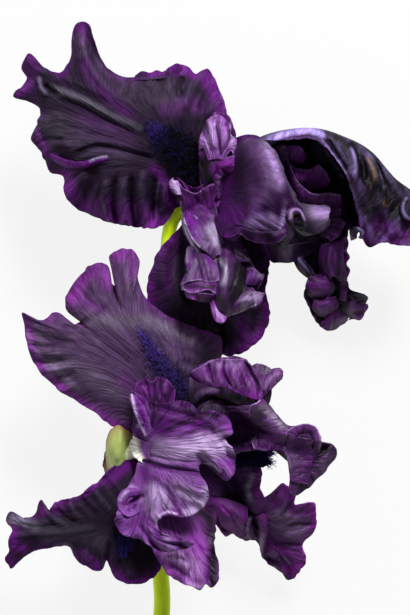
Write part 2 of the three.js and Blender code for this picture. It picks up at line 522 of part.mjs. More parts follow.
seatBlade("lower_style_left", STYLE, lowerStyleLeft, 10);

// A beard is a ridge of tufts along the middle of a fall's inner half
function seatBeard(name, contours, from, to) {
  const rays = loft(contours, 90, 40);
  const normals = normalsOf(rays);
  const spine = [];
  for (let k = 0; k <= 5; k++) {
    const t = k / 5;
    const mark = [from[0] + (to[0] - from[0]) * t, from[1] + (to[1] - from[1]) * t];
    let best = null;
    rays.forEach((ray, j) => ray.forEach((point, i) => {
      const distance = Math.hypot(point.x - mark[0], point.y - mark[1]);
      if (!best || distance < best.distance) best = { distance, point, normal: normals[j][i] };
    }));
    const outside = best.normal.clone().multiplyScalar(Math.sign(best.normal.z));
    spine.push(best.point.clone().addScaledVector(outside, PETAL_THICKNESS / 2 + CLEARANCE + BEARD_HEIGHT / 2));
  }
  const path = new THREE.CatmullRomCurve3(spine, false, "centripetal");
  const tuft = (t, s, k) => 0.5 * BEARD_WIDTH * Math.sin(Math.PI * (0.14 + 0.76 * t)) ** 0.6 * ((s + k) % 2 ? 0.84 : 1.08);
  seat(name, BEARD, (growth) => (
    solidOf(rodGeometry(path, (t, s, k) => tuft(t, s, k) + growth, 8, 9, BEARD_HEIGHT / BEARD_WIDTH))));
}

seatBeard("upper_beard_front", upperFallFront, [98, 212], [77, 238]);
seatBeard("upper_beard_low", upperFallLow, [99, 192], [103, 166]);
seatBeard("upper_beard_back", upperFallBack, [99, 213], [86, 236]);
seatBeard("lower_beard_top", lowerFallTop, [84, 104], [72, 140]);
seatBeard("lower_beard_left", lowerFallLeft, [66, 68], [60, 35]);
seatBeard("lower_beard_right", lowerFallRight, [104, 78], [130, 72]);

export default flower;
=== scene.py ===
# A cut stem of bearded iris with two open blooms, lying on a pale table and seen from straight above.
import math
import random
import bmesh
import bpy
import numpy as np
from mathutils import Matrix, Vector


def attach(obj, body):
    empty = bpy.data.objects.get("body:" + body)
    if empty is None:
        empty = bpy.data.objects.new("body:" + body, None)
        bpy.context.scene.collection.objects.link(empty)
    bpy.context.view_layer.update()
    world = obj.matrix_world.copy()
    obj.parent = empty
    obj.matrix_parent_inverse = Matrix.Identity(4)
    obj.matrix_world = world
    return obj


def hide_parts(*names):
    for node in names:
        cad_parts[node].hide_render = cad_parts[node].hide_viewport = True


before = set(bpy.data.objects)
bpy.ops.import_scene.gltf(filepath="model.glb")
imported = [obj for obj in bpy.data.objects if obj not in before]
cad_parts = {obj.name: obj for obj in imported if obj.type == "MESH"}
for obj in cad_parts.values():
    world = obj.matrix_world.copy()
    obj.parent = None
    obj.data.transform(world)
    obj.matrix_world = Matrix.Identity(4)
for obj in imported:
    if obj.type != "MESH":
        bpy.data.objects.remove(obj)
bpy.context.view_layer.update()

print("stage: frame loaded")

# The sheet that the flower is drawn on: millimetres right and up from its corner, and heights
sheet = {"middle": (108, 141), "depthScale": 1.2, "top": 307.5}


def fromSheet(points):  # sheet millimetres to metres in the flower's own frame
    placed = np.array(points, float)
    placed[..., 0] -= sheet["middle"][0]
    placed[..., 1] -= sheet["middle"][1]
    placed[..., 2] *= sheet["depthScale"]
    return placed / 1000


def fromDrawing(points):  # smaller forms are drawn in half millimetres from the sheet's top left
    drawn = np.array(points, float) / 2
    right = drawn[:, 0] - sheet["middle"][0]
    up = sheet["top"] - drawn[:, 1] - sheet["middle"][1]
    return np.column_stack([right, up]) / 1000


# Pieces are drawn as text, a contour, fold or tint in each row; a backslash joins a row to the next:
#   x,y,z x,y,z                   a contour; the first lies at the claw, the last is the margin
#   height width x,y x,y          a fold along a line: a ridge, or a crease where the height is negative
#   tint strength width x,y x,y   a soft stroke along a line, of one of the tints below
# Tints: pale is partly the petal's own pale colour and partly painted highlight; glow is partly its own bright
# purple and partly painted light, through thin parts and over shaded parts; the grey tint is painted sheen and
# highlight; dry is brown dead tissue; dark is partly the petal's own dark colour and partly painted shade in
# creases, hollows, insides and under folds
def rowsOf(text):  # one tuple a row: its words and numbers, then the list of its points
    rows = []
    for row in text.strip().splitlines():
        words = row.split()
        settings = [word if word.isalpha() else float(word) for word in words if "," not in word]
        rows.append((*settings, [[float(n) for n in word.split(",")] for word in words if "," in word]))
    return rows


def pointsOf(text):  # the points of a single row
    return rowsOf(text)[0][-1]


def drawnParts(text):
    rows = rowsOf(text)
    return {"contours": [row[0] for row in rows if len(row) == 1],
            "folds": [row for row in rows if len(row) == 3],
            "tints": [row for row in rows if len(row) == 4]}


# Curves and lofts

sampling = {  # steps that drawn lines are walked in
    "curveSpan": 48, "raySpan": 24, "contour": 960,
    "lobeShare": 0.6,  # how much a lobe's own length counts when points are shared out round a margin
    "evenness": 60e-6, "longestStep": 4,  # how far an inner contour's points may crowd or spread
}


def hermite(p0, p1, p2, p3, t):  # one span of a centripetal curve
    d0, d1, d2 = (np.maximum(np.linalg.norm(b - a, axis=-1, keepdims=True), 1e-9) ** 0.5
                  for a, b in ((p0, p1), (p1, p2), (p2, p3)))
    m1 = ((p1 - p0) / d0 - (p2 - p0) / (d0 + d1) + (p2 - p1) / d1) * d1
    m2 = ((p2 - p1) / d1 - (p3 - p1) / (d1 + d2) + (p3 - p2) / d2) * d1
    return (p1 + m1 * t + (3 * (p2 - p1) - 2 * m1 - m2) * t ** 2 + (2 * (p1 - p2) + m1 + m2) * t ** 3)


def walkedAlong(line):  # the distance walked at each point of a line
    return np.concatenate([[0], np.cumsum(np.linalg.norm(np.diff(line, axis=0), axis=1))])


def evenly(line, steps):  # the line as steps + 1 points at even distances
    walked = walkedAlong(line)
    marks = np.linspace(0, walked[-1], steps + 1)
    return np.column_stack([np.interp(marks, walked, line[:, c]) for c in range(line.shape[1])])


def curveThrough(corners, steps):  # a smooth curve through its corners, in even steps
    p = np.array(corners, float)
    p = np.vstack([2 * p[0] - p[1], p, 2 * p[-1] - p[-2]])
    fine = np.linspace(0, 1, sampling["curveSpan"], endpoint=False)[:, None]
    spans = [hermite(p[k - 1], p[k], p[k + 1], p[k + 2], fine) for k in range(1, len(p) - 2)]
    return evenly(np.vstack(spans + [p[-2][None, :]]), steps)


def evened(line, reach):  # moving average that keeps both ends
    soft = line.copy()
    for k in range(len(line)):
        r = min(reach, k, len(line) - 1 - k)
        soft[k] = line[k - r:k + r + 1].mean(axis=0)
    return soft


def spread(corners, count):  # margin points, so that a deep lobe takes a fair share of them and no more
    fine = curveThrough(corners, sampling["contour"])
    soft = evened(fine, sampling["contour"] // 20)
    fineWalk, softWalk = walkedAlong(fine), walkedAlong(soft)
    share = sampling["lobeShare"] * (fineWalk / fineWalk[-1])
    share = share + (1 - sampling["lobeShare"]) * (softWalk / softWalk[-1])
    marks = np.linspace(0, 1, count + 1)
    return np.column_stack([np.interp(marks, share, fine[:, c]) for c in range(3)])


def follow(corners, partners):  # points along an inner contour, each as near its outer partner as can be
    steps = sampling["contour"]
    fine = curveThrough(corners, steps)
    last = len(partners) - 1
    stride = steps / last
    longest = math.ceil(sampling["longestStep"] * stride)
    cost = np.full(steps + 1, np.inf)
    cost[0] = 0
    chosen = []
    penalties = sampling["evenness"] * (np.arange(longest + 1)[::-1] / stride - 1) ** 2
    for j in range(1, last + 1):
        padded = np.concatenate([np.full(longest, np.inf), cost])
        totals = np.lib.stride_tricks.sliding_window_view(padded, longest + 1) + penalties
        pick = totals.argmin(axis=1)
        cost = totals[np.arange(steps + 1), pick] + ((fine - partners[j]) ** 2).sum(axis=1)
        chosen.append(longest - pick)
    marks = [steps]
    for j in range(last - 1, -1, -1):
        marks.append(marks[-1] - chosen[j][marks[-1]])
    return evened(fine[marks[::-1]], max(1, round(last / 60)))


def loft(contours, around, along):  # grid of points, [ray][step], from the claw to the margin
    lines = [spread(contours[-1], around)]
    for contour in contours[-2::-1]:
        lines.insert(0, follow(contour, lines[0]))
    knots = np.array(lines)
    knots = np.concatenate([[2 * knots[0] - knots[1]], knots, [2 * knots[-1] - knots[-2]]])
    fine = np.linspace(0, 1, sampling["raySpan"], endpoint=False)
    spans = [hermite(*knots[k - 1:k + 3], t) for k in range(1, len(knots) - 2) for t in fine]
    rays = np.array(spans + [knots[-2]]).transpose(1, 0, 2)
    return np.array([evenly(ray, along) for ray in rays])


def contoursOf(shape):
    return shape.get("placed") or [fromSheet(contour) for contour in shape["contours"]]


# Drawn folds and tints

def strokeDistance(flat, drawn, reach):  # how far points are from a drawn line, and where along it, 0 to 1
    line = fromDrawing(drawn)
    if len(line) > 2:
        line = curveThrough(np.column_stack([line, np.zeros(len(line))]), 6 * len(line))[:, :2]
    near = np.full(len(flat), np.inf)
    where = np.zeros(len(flat))
    close = np.where(((flat > line.min(axis=0) - reach) & (flat < line.max(axis=0) + reach)).all(axis=1))[0]
    lengths = np.hypot(*np.diff(line, axis=0).T)
    walked = np.concatenate([[0], np.cumsum(lengths)])
    spots = flat[close]
    best = np.full(len(close), np.inf)
    along = np.zeros(len(close))
    for k in range(len(line) - 1):
        span = line[k + 1] - line[k]
        t = np.clip(((spots - line[k]) @ span) / max(span @ span, 1e-12), 0, 1)
        gap = np.hypot(*(spots - line[k] - t[:, None] * span).T)
        closer = gap < best
        best[closer] = gap[closer]
        along[closer] = (walked[k] + t[closer] * lengths[k]) / walked[-1]
    near[close] = best
    where[close] = along
    return near, where


def smooth(x):  # a soft step from 0 to 1
    x = np.clip(x, 0, 1)
    return x * x * (3 - 2 * x)


def reliefOf(flat, folds):  # heights of drawn ridges (up) and creases (down) at flat points, in metres
    relief = np.zeros(len(flat))
    for height, width, drawn in folds:
        near, where = strokeDistance(flat, drawn, width / 2000)
        profile = smooth(1 - near / (width / 2000))
        fade = smooth(np.minimum(where, 1 - where) * 5 + 0.15)
        relief += height / 1000 * profile * fade
    return relief


def tintsOf(flat, tints):  # how much of each drawn tint lies on flat points, 0 to 1; the tints are partly painted highlight, sheen and shade
    washes = {name: np.zeros(len(flat)) for name in ("pale", "glow", "ash", "dry", "dark")}
    for name, strength, width, drawn in tints:
        near, where = strokeDistance(flat, drawn, width / 2000)
        wash = strength * smooth(1 - near / (width / 2000))
        washes[name] = 1 - (1 - washes[name]) * (1 - wash)
    return washes


def hills(x, y, seed):  # smooth random hills over two coordinates, about -1 to 1
    cells = 64
    field = np.random.default_rng(seed).uniform(-1, 1, (cells, cells))
    column, row = np.floor(x).astype(int), np.floor(y).astype(int)
    s, t = smooth(x - column), smooth(y - row)
    corner = [[field[(column + a) % cells, (row + b) % cells] for b in (0, 1)] for a in (0, 1)]
    low = corner[0][0] * (1 - s) + corner[1][0] * s
    high = corner[0][1] * (1 - s) + corner[1][1] * s
    return low * (1 - t) + high * t


def blurred(field, reach):  # a box average over reach cells to each side, twice
    for axis in (0, 1, 0, 1):
        ends = [(reach + 1, reach) if axis == a else (0, 0) for a in (0, 1)]
        sums = np.cumsum(np.pad(field, ends, mode="edge"), axis=axis)
        high = np.take(sums, range(2 * reach + 1, sums.shape[axis]), axis=axis)
        low = np.take(sums, range(sums.shape[axis] - 2 * reach - 1), axis=axis)
        field = (high - low) / (2 * reach + 1)
    return field


def waves(seed, size):  # a smooth random wave round a margin, about -1 to 1
    count = 400
    source = random.Random(seed)
    knots = np.array([source.uniform(-1, 1) for _ in range(count)])
    return lambda s: np.interp(s / size, np.arange(count), knots)


# Pieces

def finishPiece(name, mesh, nodes, material):  # in its place, with what it rides and replaces
    piece = bpy.data.objects.new(name, mesh)
    bpy.context.scene.collection.objects.link(piece)
    mesh.materials.append(material)
    mesh.polygons.foreach_set("use_smooth", [True] * len(mesh.polygons))
    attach(piece, "root")
    if nodes:
        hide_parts(*nodes)
    print("stage:", name)
    return piece


petalDefaults = {
    "around": 250, "along": 70,  # points round the margin, and from the claw to the margin
    "ruffle": (0.8, 7), "crumple": (0.35, 6),  # millimetres of height, and of size
    "notches": 0.5, "thickness": 0.45, "seed": 1, "turned": False,
}
petalWork = {  # metres, the same for every petal
    "floor": 0.0006, "notchSize": 0.0024, "notchReach": 0.002, "clawReach": 0.02, "rimReach": 0.0035,
    "levelReach": 0.0022, "bulge": 0.0005,  # crests and hollows, painted lighter and darker, are told from the level round them
}
seedSteps = {"crimp": 50, "bends": 7, "smallBends": 8, "notches": 90}


def workedPetal(shape, rays):  # the petal's points with their ruffles, crumples and folds, and its tints
    along, seed = shape["along"], shape["seed"]
    grid = rays.reshape(-1, 3)
    lengths = np.linalg.norm(np.diff(rays, axis=1), axis=2)
    outward = np.concatenate([np.zeros((len(rays), 1)), np.cumsum(lengths, axis=1)], axis=1)
    toMargin = outward[:, -1:] - outward
    sides = np.linalg.norm(rays - rays[:1], axis=2), np.linalg.norm(rays - rays[-1:], axis=2)
    toMargin = np.minimum(toMargin, np.minimum(*sides))
    marginWalk = walkedAlong(rays[:, -1])

    height, size = shape["ruffle"]
    wave = waves(seed, size / 1000)(marginWalk)
    crimp = waves(seed + seedSteps["crimp"], size / 3000)(marginWalk)
    reach = np.exp(-toMargin / (size / 1000)).ravel()
    lift = np.repeat(wave, along + 1) * reach + 0.25 * np.repeat(crimp, along + 1) * reach ** 3
    lift = height / 1000 * lift

    height, size = shape["crumple"]
    x, y = np.repeat(marginWalk, along + 1) * 1000 / size, outward.ravel() * 1000 / size / 2.2
    bends = 1 - 2.2 * np.abs(hills(x + 0.4 * hills(y, x, 9), y, seed + seedSteps["bends"]))
    bends += 0.45 * (1 - 2.2 * np.abs(hills(2.1 * x, 1.7 * y, seed + seedSteps["smallBends"])))
    fanned = np.minimum(1, outward.ravel() / petalWork["clawReach"])
    fanned = fanned * (0.35 + 0.65 * outward.ravel() / outward.max())

    flat = grid[:, :2].copy()
    grid[:, 2] += reliefOf(flat, shape["folds"]) + lift + height / 1000 * bends * fanned
    grid[:, 2] = np.maximum(grid[:, 2], petalWork["floor"])
    notch = waves(seed + seedSteps["notches"], petalWork["notchSize"])(marginWalk)[:, None, None]
    notch = notch * np.exp(-toMargin / petalWork["notchReach"])[..., None]
    pull = rays[:, -1, :2] - rays[:, -3, :2]
    pull /= np.maximum(np.linalg.norm(pull, axis=1, keepdims=True), 1e-9)
    grid[:, :2] += (shape["notches"] / 1000 * notch * pull[:, None]).reshape(-1, 2)

    heights = grid[:, 2].reshape(-1, along + 1)
    cell = max(np.median(np.diff(marginWalk)), np.median(lengths), 1e-5)
    level = blurred(heights, max(1, round(petalWork["levelReach"] / cell)))
    bulge = ((heights - level) / petalWork["bulge"]).ravel()
    washes = tintsOf(flat, shape["tints"])
    # rim: nearness to the margin, which brightens petals as painted light through the thin edges and browns
    # the dry tips of spathes; the other two: how far a point lies below or above the level round it, for
    # painted shade in hollows and painted highlight on crests
    washes["rim"] = np.exp(-toMargin.ravel() / petalWork["rimReach"])
    washes["hollowShade"] = np.clip(-bulge, 0, 1)
    washes["crest"] = np.clip(bulge, 0, 1)
    fibres = ("outward", "across") if shape["turned"] else ("across", "outward")
    washes[fibres[0]] = np.repeat(marginWalk, along + 1) * 100
    washes[fibres[1]] = outward.ravel() * 100
    return grid, washes


def petal(name, node, material, petalShape):
    shape = {**petalDefaults, **drawnParts(petalShape["drawn"]), **petalShape}
    around, along = shape["around"], shape["along"]
    grid, washes = workedPetal(shape, loft(contoursOf(shape), around, along))
    shape["grid"] = grid  # the folds that stand on this petal find their seats in it

    bm = bmesh.new()
    bm.loops.layers.uv.new("UVMap")
    bmesh.ops.create_grid(bm, x_segments=around, y_segments=along, size=1, calc_uvs=True)
    mesh = bpy.data.meshes.new(name)
    bm.to_mesh(mesh)
    bm.free()
    places = np.empty(len(mesh.vertices) * 3, np.float32)
    mesh.vertices.foreach_get("co", places)
    places = places.reshape(-1, 3)
    j = np.rint((places[:, 0] + 1) / 2 * around).astype(int)
    i = np.rint((places[:, 1] + 1) / 2 * along).astype(int)
    at = j * (along + 1) + i
    mesh.vertices.foreach_set("co", grid[at].astype(np.float32).ravel())
    for wash, values in washes.items():
        layer = mesh.attributes.new(wash, "FLOAT", "POINT")
        layer.data.foreach_set("value", values[at].astype(np.float32))
    mesh.update()
    piece = finishPiece(name, mesh, [node] if node else [], material)
    wall = piece.modifiers.new("thickness", "SOLIDIFY")
    wall.thickness = shape["thickness"] / 1000
    wall.offset = 0
    return shape


def rod(name, node, material, rodShape):  # a round stalk along a path
    rings = rodShape["rings"]
    path = curveThrough(fromSheet(pointsOf(rodShape["path"])), rings)
    bm = bmesh.new()
    ring = bmesh.ops.create_circle(bm, cap_ends=True, segments=rodShape["sides"], radius=1)["verts"]
    edges = list(bm.edges)
    loops = [ring]
    for k in range(rings):
        grown = bmesh.ops.extrude_edge_only(bm, edges=edges)["geom"]
        loops.append([g for g in grown if isinstance(g, bmesh.types.BMVert)])
        edges = [g for g in grown if isinstance(g, bmesh.types.BMEdge)]
    bmesh.ops.contextual_create(bm, geom=edges)
    for k, ring in enumerate(loops):
        heading = Vector(path[min(k + 1, rings)] - path[max(k - 1, 0)]).normalized()
        side = heading.cross(Vector((0, 0, 1))).normalized()
        over = side.cross(heading)
        reach = rodShape["radius"](k / rings) / 1000
        for vert in ring:
            x, y = vert.co.x, vert.co.y
            vert.co = Vector(path[k]) + side * x * reach + over * y * reach
    bmesh.ops.recalc_face_normals(bm, faces=bm.faces)
    mesh = bpy.data.meshes.new(name)
    bm.to_mesh(mesh)
    bm.free()
    finishPiece(name, mesh, [node], material)


# Shader maths as expressions

class Wire:
    def __init__(self, tree, socket):
        self.tree = tree
        self.socket = socket

    def maths(self, operation, *others):
        node = self.tree.nodes.new("ShaderNodeMath")
        node.operation = operation
        for place, value in enumerate((self,) + others):
            plug(self.tree, value, node.inputs[place])
        return Wire(self.tree, node.outputs[0])

    def __add__(self, other): return self.maths("ADD", other)
    def __radd__(self, other): return self.maths("ADD", other)
    def __sub__(self, other): return self.maths("SUBTRACT", other)
    def __mul__(self, other): return self.maths("MULTIPLY", other)
    def __rmul__(self, other): return self.maths("MULTIPLY", other)
    def __pow__(self, other): return self.maths("POWER", other)

    def __rsub__(self, other):
        node = self.tree.nodes.new("ShaderNodeMath")
        node.operation = "SUBTRACT"
        node.inputs[0].default_value = other
        self.tree.links.new(self.socket, node.inputs[1])
        return Wire(self.tree, node.outputs[0])

    def absolute(self): return self.maths("ABSOLUTE")

    def clipped(self):
        node = self.tree.nodes.new("ShaderNodeClamp")
        self.tree.links.new(self.socket, node.inputs[0])
        return Wire(self.tree, node.outputs[0])


def plug(tree, value, socket):
    if isinstance(value, Wire):
        tree.links.new(value.socket, socket)
    else:
        socket.default_value = value


class Finish:
    def __init__(self, name, **constants):
        self.material = bpy.data.materials.new(name)
        self.material.use_nodes = True
        self.tree = self.material.node_tree
        self.shader = self.tree.nodes["Principled BSDF"]
        for socket, value in constants.items():
            self.shader.inputs[socket].default_value = value

    def node(self, kind, settings=None, **values):
        node = self.tree.nodes.new(kind)
        for key, value in (settings or {}).items():
            setattr(node, key, value)
        for socket, value in values.items():
            plug(self.tree, value, node.inputs[socket])
        return node

    def wire(self, node, output=0): return Wire(self.tree, node.outputs[output])
    def place(self): return self.wire(self.node("ShaderNodeTexCoord"), "Object")
    def combine(self, x, y, z): return self.wire(self.node("ShaderNodeCombineXYZ", X=x, Y=y, Z=z))

    def attribute(self, name):
        return self.wire(self.node("ShaderNodeAttribute", {"attribute_name": name}), "Fac")

    def outwardUv(self):
        uv = self.wire(self.node("ShaderNodeTexCoord"), "UV")
        return self.wire(self.node("ShaderNodeSeparateXYZ", Vector=uv), "Y")

    def noise(self, vector, scale, detail=3, roughness=0.5):
        settings = {"Vector": vector, "Scale": scale, "Detail": detail, "Roughness": roughness}
        return self.wire(self.node("ShaderNodeTexNoise", **settings), "Fac")

    def mix(self, factor, a, b):
        node = self.tree.nodes.new("ShaderNodeMix")
        node.data_type = "RGBA"
        plug(self.tree, factor, node.inputs[0])
        for value, socket in ((a, node.inputs[6]), (b, node.inputs[7])):
            plug(self.tree, value if isinstance(value, Wire) else (*value, 1), socket)
        return Wire(self.tree, node.outputs[2])

    def colour(self, wire): plug(self.tree, wire, self.shader.inputs["Base Color"])
    def rough(self, wire): plug(self.tree, wire, self.shader.inputs["Roughness"])

    def bump(self, height, distance, strength=1):
        node = self.node("ShaderNodeBump", Height=height, Distance=distance, Strength=strength)
        plug(self.tree, self.wire(node), self.shader.inputs["Normal"])


def hexColour(code):  # an sRGB code as linear numbers
    parts = [int(code[k:k + 2], 16) / 255 for k in (0, 2, 4)]
    return tuple(p / 12.92 if p <= 0.04045 else ((p + 0.055) / 1.055) ** 2.4 for p in parts)


# Finishes

# The scale, detail and roughness of each noise
petalTexture = {"blotch": (60, 3, 0.6), "drift": (170, 2, 0.5), "grain": (1500, 2, 0.6)}


def petalFinish(name, look):
    f = Finish(name, **{"Sheen Weight": look["sheen"], "Sheen Roughness": look["sheenRoughness"],
                        "Sheen Tint": (*hexColour(look["sheenTint"]), 1), "IOR": 1.4,
                        "Specular IOR Level": look["gloss"]})
    toneNames = ("deep", "body", "bright", "ash", "pale", "dark", "veinAndShadeColour")
    tones = {key: hexColour(look[key]) for key in toneNames}
    v = f.outwardUv()
    across, outward = f.attribute("across"), f.attribute("outward")
    place = f.place()
    blotch, drift, grain = (f.noise(place, *petalTexture[key]) for key in ("blotch", "drift", "grain"))
    bent = across + (drift - 0.5) * 0.2 + (blotch - 0.5) * 0.5
    crease = f.noise(f.combine(bent * 1.1, outward * 0.35, across * 0), 1.4, 2, 0.55)
    crease = (1 - ((crease - 0.5) * 7).absolute()).clipped() ** 2
    veins = f.noise(f.combine(bent * look["veins"], outward * 0.7, outward * 0), 1, 1, 0.5)
    vein = (1 - ((veins - 0.5) * look["veinSharpness"]).absolute()).clipped()
    fibre = f.noise(f.combine(bent * look["veins"] * 3.5, outward * 2.2, outward * 0), 1, 2, 0.6)
    veinInk = (vein * look["veinStrength"] * (blotch * 1.8 - 0.2)).clipped()

    def frayed(wash):  # a drawn wash whose soft edge breaks up along the fibres
        amount = f.attribute(wash)
        return (amount + (fibre - 0.5) * look["fray"] * amount * (1 - amount)).clipped()

    rim = f.attribute("rim")
    colour = f.mix((blotch * 2.0 - 0.5).clipped(), tones["deep"], tones["body"])
    # Painted light: the margins turn toward the bright tone, as light shining through the thin edges
    colour = f.mix((rim * look["rimStrength"] * (blotch * 1.6)).clipped(), colour, tones["bright"])
    # Glow and pale strokes: partly the petal's own colour, partly painted light and highlight; the grey
    # strokes: painted sheen
    for wash, tone in (("glow", "bright"), ("ash", "ash"), ("pale", "pale")):
        colour = f.mix(frayed(wash), colour, tones[tone])
    # Painted highlight on crests; painted shade in hollows and along the noise creases, mixed in like the
    # veins
    colour = f.mix((f.attribute("crest") * look["relief"] * 0.25).clipped(), colour, tones["pale"])
    shadow = f.attribute("hollowShade") * look["relief"] + crease * (0.15 + 0.35 * v)
    for ink in (shadow, (fibre - 0.35) * look["fibre"], veinInk + (grain - 0.5) * look["speckle"]):
        colour = f.mix(ink.clipped(), colour, tones["veinAndShadeColour"])
    colour = f.mix((frayed("dry") * (grain * 2.2 - 0.2)).clipped(), colour, hexColour("94703c"))
    # Dark strokes: partly the petal's own dark colour, partly painted shade
    colour = f.mix(frayed("dark"), colour, tones["dark"])
    f.colour(colour)
    f.rough((look["roughness"] + (drift - 0.5) * 0.15 + (fibre - 0.5) * 0.3).clipped())
    creases = vein * 0.12 - crease * look["crease"] * (0.3 + v)
    f.bump(creases + fibre * 0.3 + grain * look["grain"] + drift * 0.6, 0.0006, look["bump"])
    return f.material


# Tones: deep and body are the petal's own colours; bright is its saturated purple, also painted light at the
# margins; the grey tone is painted sheen; pale is partly its own pale colour and partly painted highlight;
# dark and the vein colour also paint shade in creases and hollows
fallLook = {
    "deep": "140819", "body": "24152a", "bright": "6a1380", "ash": "4e4954",
    "pale": "9a90b0", "dark": "040206", "veinAndShadeColour": "0c0412",
    "veins": 11, "veinStrength": 0.6, "veinSharpness": 9, "rimStrength": 0.9,
    "roughness": 0.6, "gloss": 0.1, "sheen": 0.03, "sheenRoughness": 0.4, "sheenTint": "a99bd0",
    "grain": 0.25, "crease": 0.6, "fibre": 0.6, "relief": 0.2, "fray": 3, "speckle": 1.2, "bump": 0.7,
}
fallFinish = petalFinish("fallVelvet", fallLook)
lowerFallFinish = petalFinish("fallLightVelvet", dict(
    fallLook, deep="3a2544", body="5c4467", bright="7d2a8e", ash="6f6675", pale="a99ab6",
    veinAndShadeColour="1d0b26"))
fallPurpleFinish = petalFinish("fallPurpleVelvet", dict(
    fallLook, deep="421650", body="74418a", bright="8a2198", ash="7a6e84", pale="b59cc2",
    veinAndShadeColour="220a2c", roughness=0.5))

standardLook = {
    "deep": "27032e", "body": "430b4e", "bright": "5c0a6e", "ash": "564c60",
    "pale": "b094cc", "dark": "050207", "veinAndShadeColour": "1c0425",
    "veins": 9, "veinStrength": 0.5, "veinSharpness": 10, "rimStrength": 0.35,
    "roughness": 0.47, "gloss": 0.3, "sheen": 0.03, "sheenRoughness": 0.35, "sheenTint": "cdb8f0",
    "grain": 0.25, "crease": 0.6, "fibre": 0.5, "relief": 0.4, "fray": 2.4, "speckle": 0.9, "bump": 0.7,
}
domeFinish = petalFinish("domeSatin", dict(
    standardLook, deep="14021c", body="26062f", bright="440556", pale="a886c4", gloss=0.12, veinStrength=0.3,
    fibre=0.15, fray=1.6, crease=0.3, relief=0.25, speckle=0.5))
clusterFinish = petalFinish("clusterSatin", dict(
    standardLook, deep="2e0d36", body="502363", bright="63127a", ash="76757e", pale="c4b0da",
    veinAndShadeColour="25072f", veinStrength=0.65))
hoodFinish = petalFinish("hoodSatin", dict(
    standardLook, deep="060208", body="100614", bright="520f64", ash="564f68", pale="a892dc",
    veinAndShadeColour="050207", rimStrength=0.6, relief=0.5, gloss=0.13))
frillFinish = petalFinish("frillSatin", dict(
    standardLook, deep="1e0826", body="411a50", bright="6d167f", ash="5f5a68", pale="a27ab8",
    veinAndShadeColour="10041a", rimStrength=0.7))
orchidFinish = petalFinish("orchidSatin", dict(
    standardLook, deep="581a70", body="7e4396", bright="4a025e", ash="7f7389", pale="cdb6e0",
    veinAndShadeColour="3c0c48", gloss=0.18, veinStrength=0.28, fibre=0.3, relief=0.3, fray=1.4, crease=0.9, bump=1.0))
pinkFinish = petalFinish("pinkSatin", dict(
    standardLook, deep="6c2480", body="9150a4", bright="740f86", pale="c8a2d8",
    veinAndShadeColour="4c1560", veinStrength=0.4, fibre=0.35, relief=0.3, fray=1.4, crease=0.9, bump=1.0))
trumpetFinish = petalFinish("trumpetSatin", dict(
    standardLook, deep="350f41", body="5c2b6c", bright="6a137e", ash="7c7880", pale="bb90d0",
    veinAndShadeColour="260a30", veinStrength=0.5, fray=1.6, crease=0.9, bump=1.0))

styleLook = dict(standardLook, deep="8438a0", body="b074cb", bright="4e0a5c", pale="d8c0ea",
                 veinAndShadeColour="280a33", veins=5, veinSharpness=7, veinStrength=0.7, roughness=0.5)
styleFinish = petalFinish("styleSatin", styleLook)
# Dark style arms: the bright tone of their glow strokes is set light, as painted light where they lie in shade
darkStyleFinish = petalFinish("darkStyleSatin", dict(
    styleLook, deep="2c0536", body="4a0d58", bright="860f9c", pale="a070b8"))
hingeFinish = petalFinish("hingeSatin", dict(
    standardLook, deep="541d69", body="7a4490", bright="460458", pale="f6f2e6", veinStrength=0.05, fibre=0.15,
    relief=0.1, crease=0.3, gloss=0.18))

greenTexture = {"stretch": (5.0, 0.35, 5.0), "streaks": (150, 3, 0.6), "blotch": (70, 3, 0.5)}


def greenFinish(name, dark, light, pale, tip=None):  # streaks and blotches, and a dry tip where one is named
    f = Finish(name, **{"IOR": 1.4, "Specular IOR Level": 0.22})
    place = f.place()
    split = f.node("ShaderNodeSeparateXYZ", Vector=place)
    stretched = (f.wire(split, axis) * size for axis, size in zip("XYZ", greenTexture["stretch"]))
    streaks = f.noise(f.combine(*stretched), *greenTexture["streaks"])
    blotch = f.noise(place, *greenTexture["blotch"])
    colour = f.mix((streaks * 1.4 - 0.2).clipped(), hexColour(dark), hexColour(light))
    colour = f.mix((blotch * 1.2 - 0.45).clipped(), colour, hexColour(pale))
    if tip:
        colour = f.mix((f.attribute("rim") * (0.5 + blotch)).clipped(), colour, hexColour(tip))
    f.colour(colour)
    f.rough((0.42 + (streaks - 0.5) * 0.25).clipped())
    f.bump(streaks * 0.7 + blotch * 0.3, 0.0004, 0.4)
    return f.material


stemFinish = greenFinish("stemGreen", "b4d60a", "d4ee22", "e0f248")
tubeFinish = greenFinish("tubeCream", "c3c98c", "e2e4c4", "f0ecdc")
spatheFinish = greenFinish("spatheGreen", "8d9f4e", "a4b46a", "c0c88e", "8a6b45")
paperFinish = greenFinish("paperyBrown", "7a5a3c", "a98763", "cbb294", "4a2f20")
print("stage: finishes")


# Stem, branch and flower tubes: paths in sheet millimetres, radii in millimetres from end to end

rod("stemRod", "stem", stemFinish, {
    "path": "79.5,-12.5,3.6 80.5,4,5.4 79,24,10 77,46,15 78,80,19 81,112,23 84.5,140,30 85.5,152,33",
    "radius": lambda t: 4.3 * (1 - 0.12 * t), "sides": 36, "rings": 90})
rod("branchRod", "branch", stemFinish, {
    "path": "76.5,46,16 69,55,20 60,62,28 59,68,34", "radius": lambda t: 3.6, "sides": 28, "rings": 30})
rod("upperTubeRod", "upper_tube", stemFinish, {
    "path": "85.4,153.5,33.4 84.2,168,35 83.7,184,37.5 86.6,198,42 94,204,45.5 100,204.5,46",
    "radius": lambda t: 3.5 * (1 + 0.1 * math.sin(math.pi * min(1, 3 * t))), "sides": 32, "rings": 60})
rod("lowerTubeRod", "lower_tube", tubeFinish, {
    "path": "59.5,69.5,35 61,77,41 65.5,82,45 71.5,82.5,47",
    "radius": lambda t: 3.7 * (0.95 + 0.2 * math.sin(math.pi * t)), "sides": 28, "rings": 30})
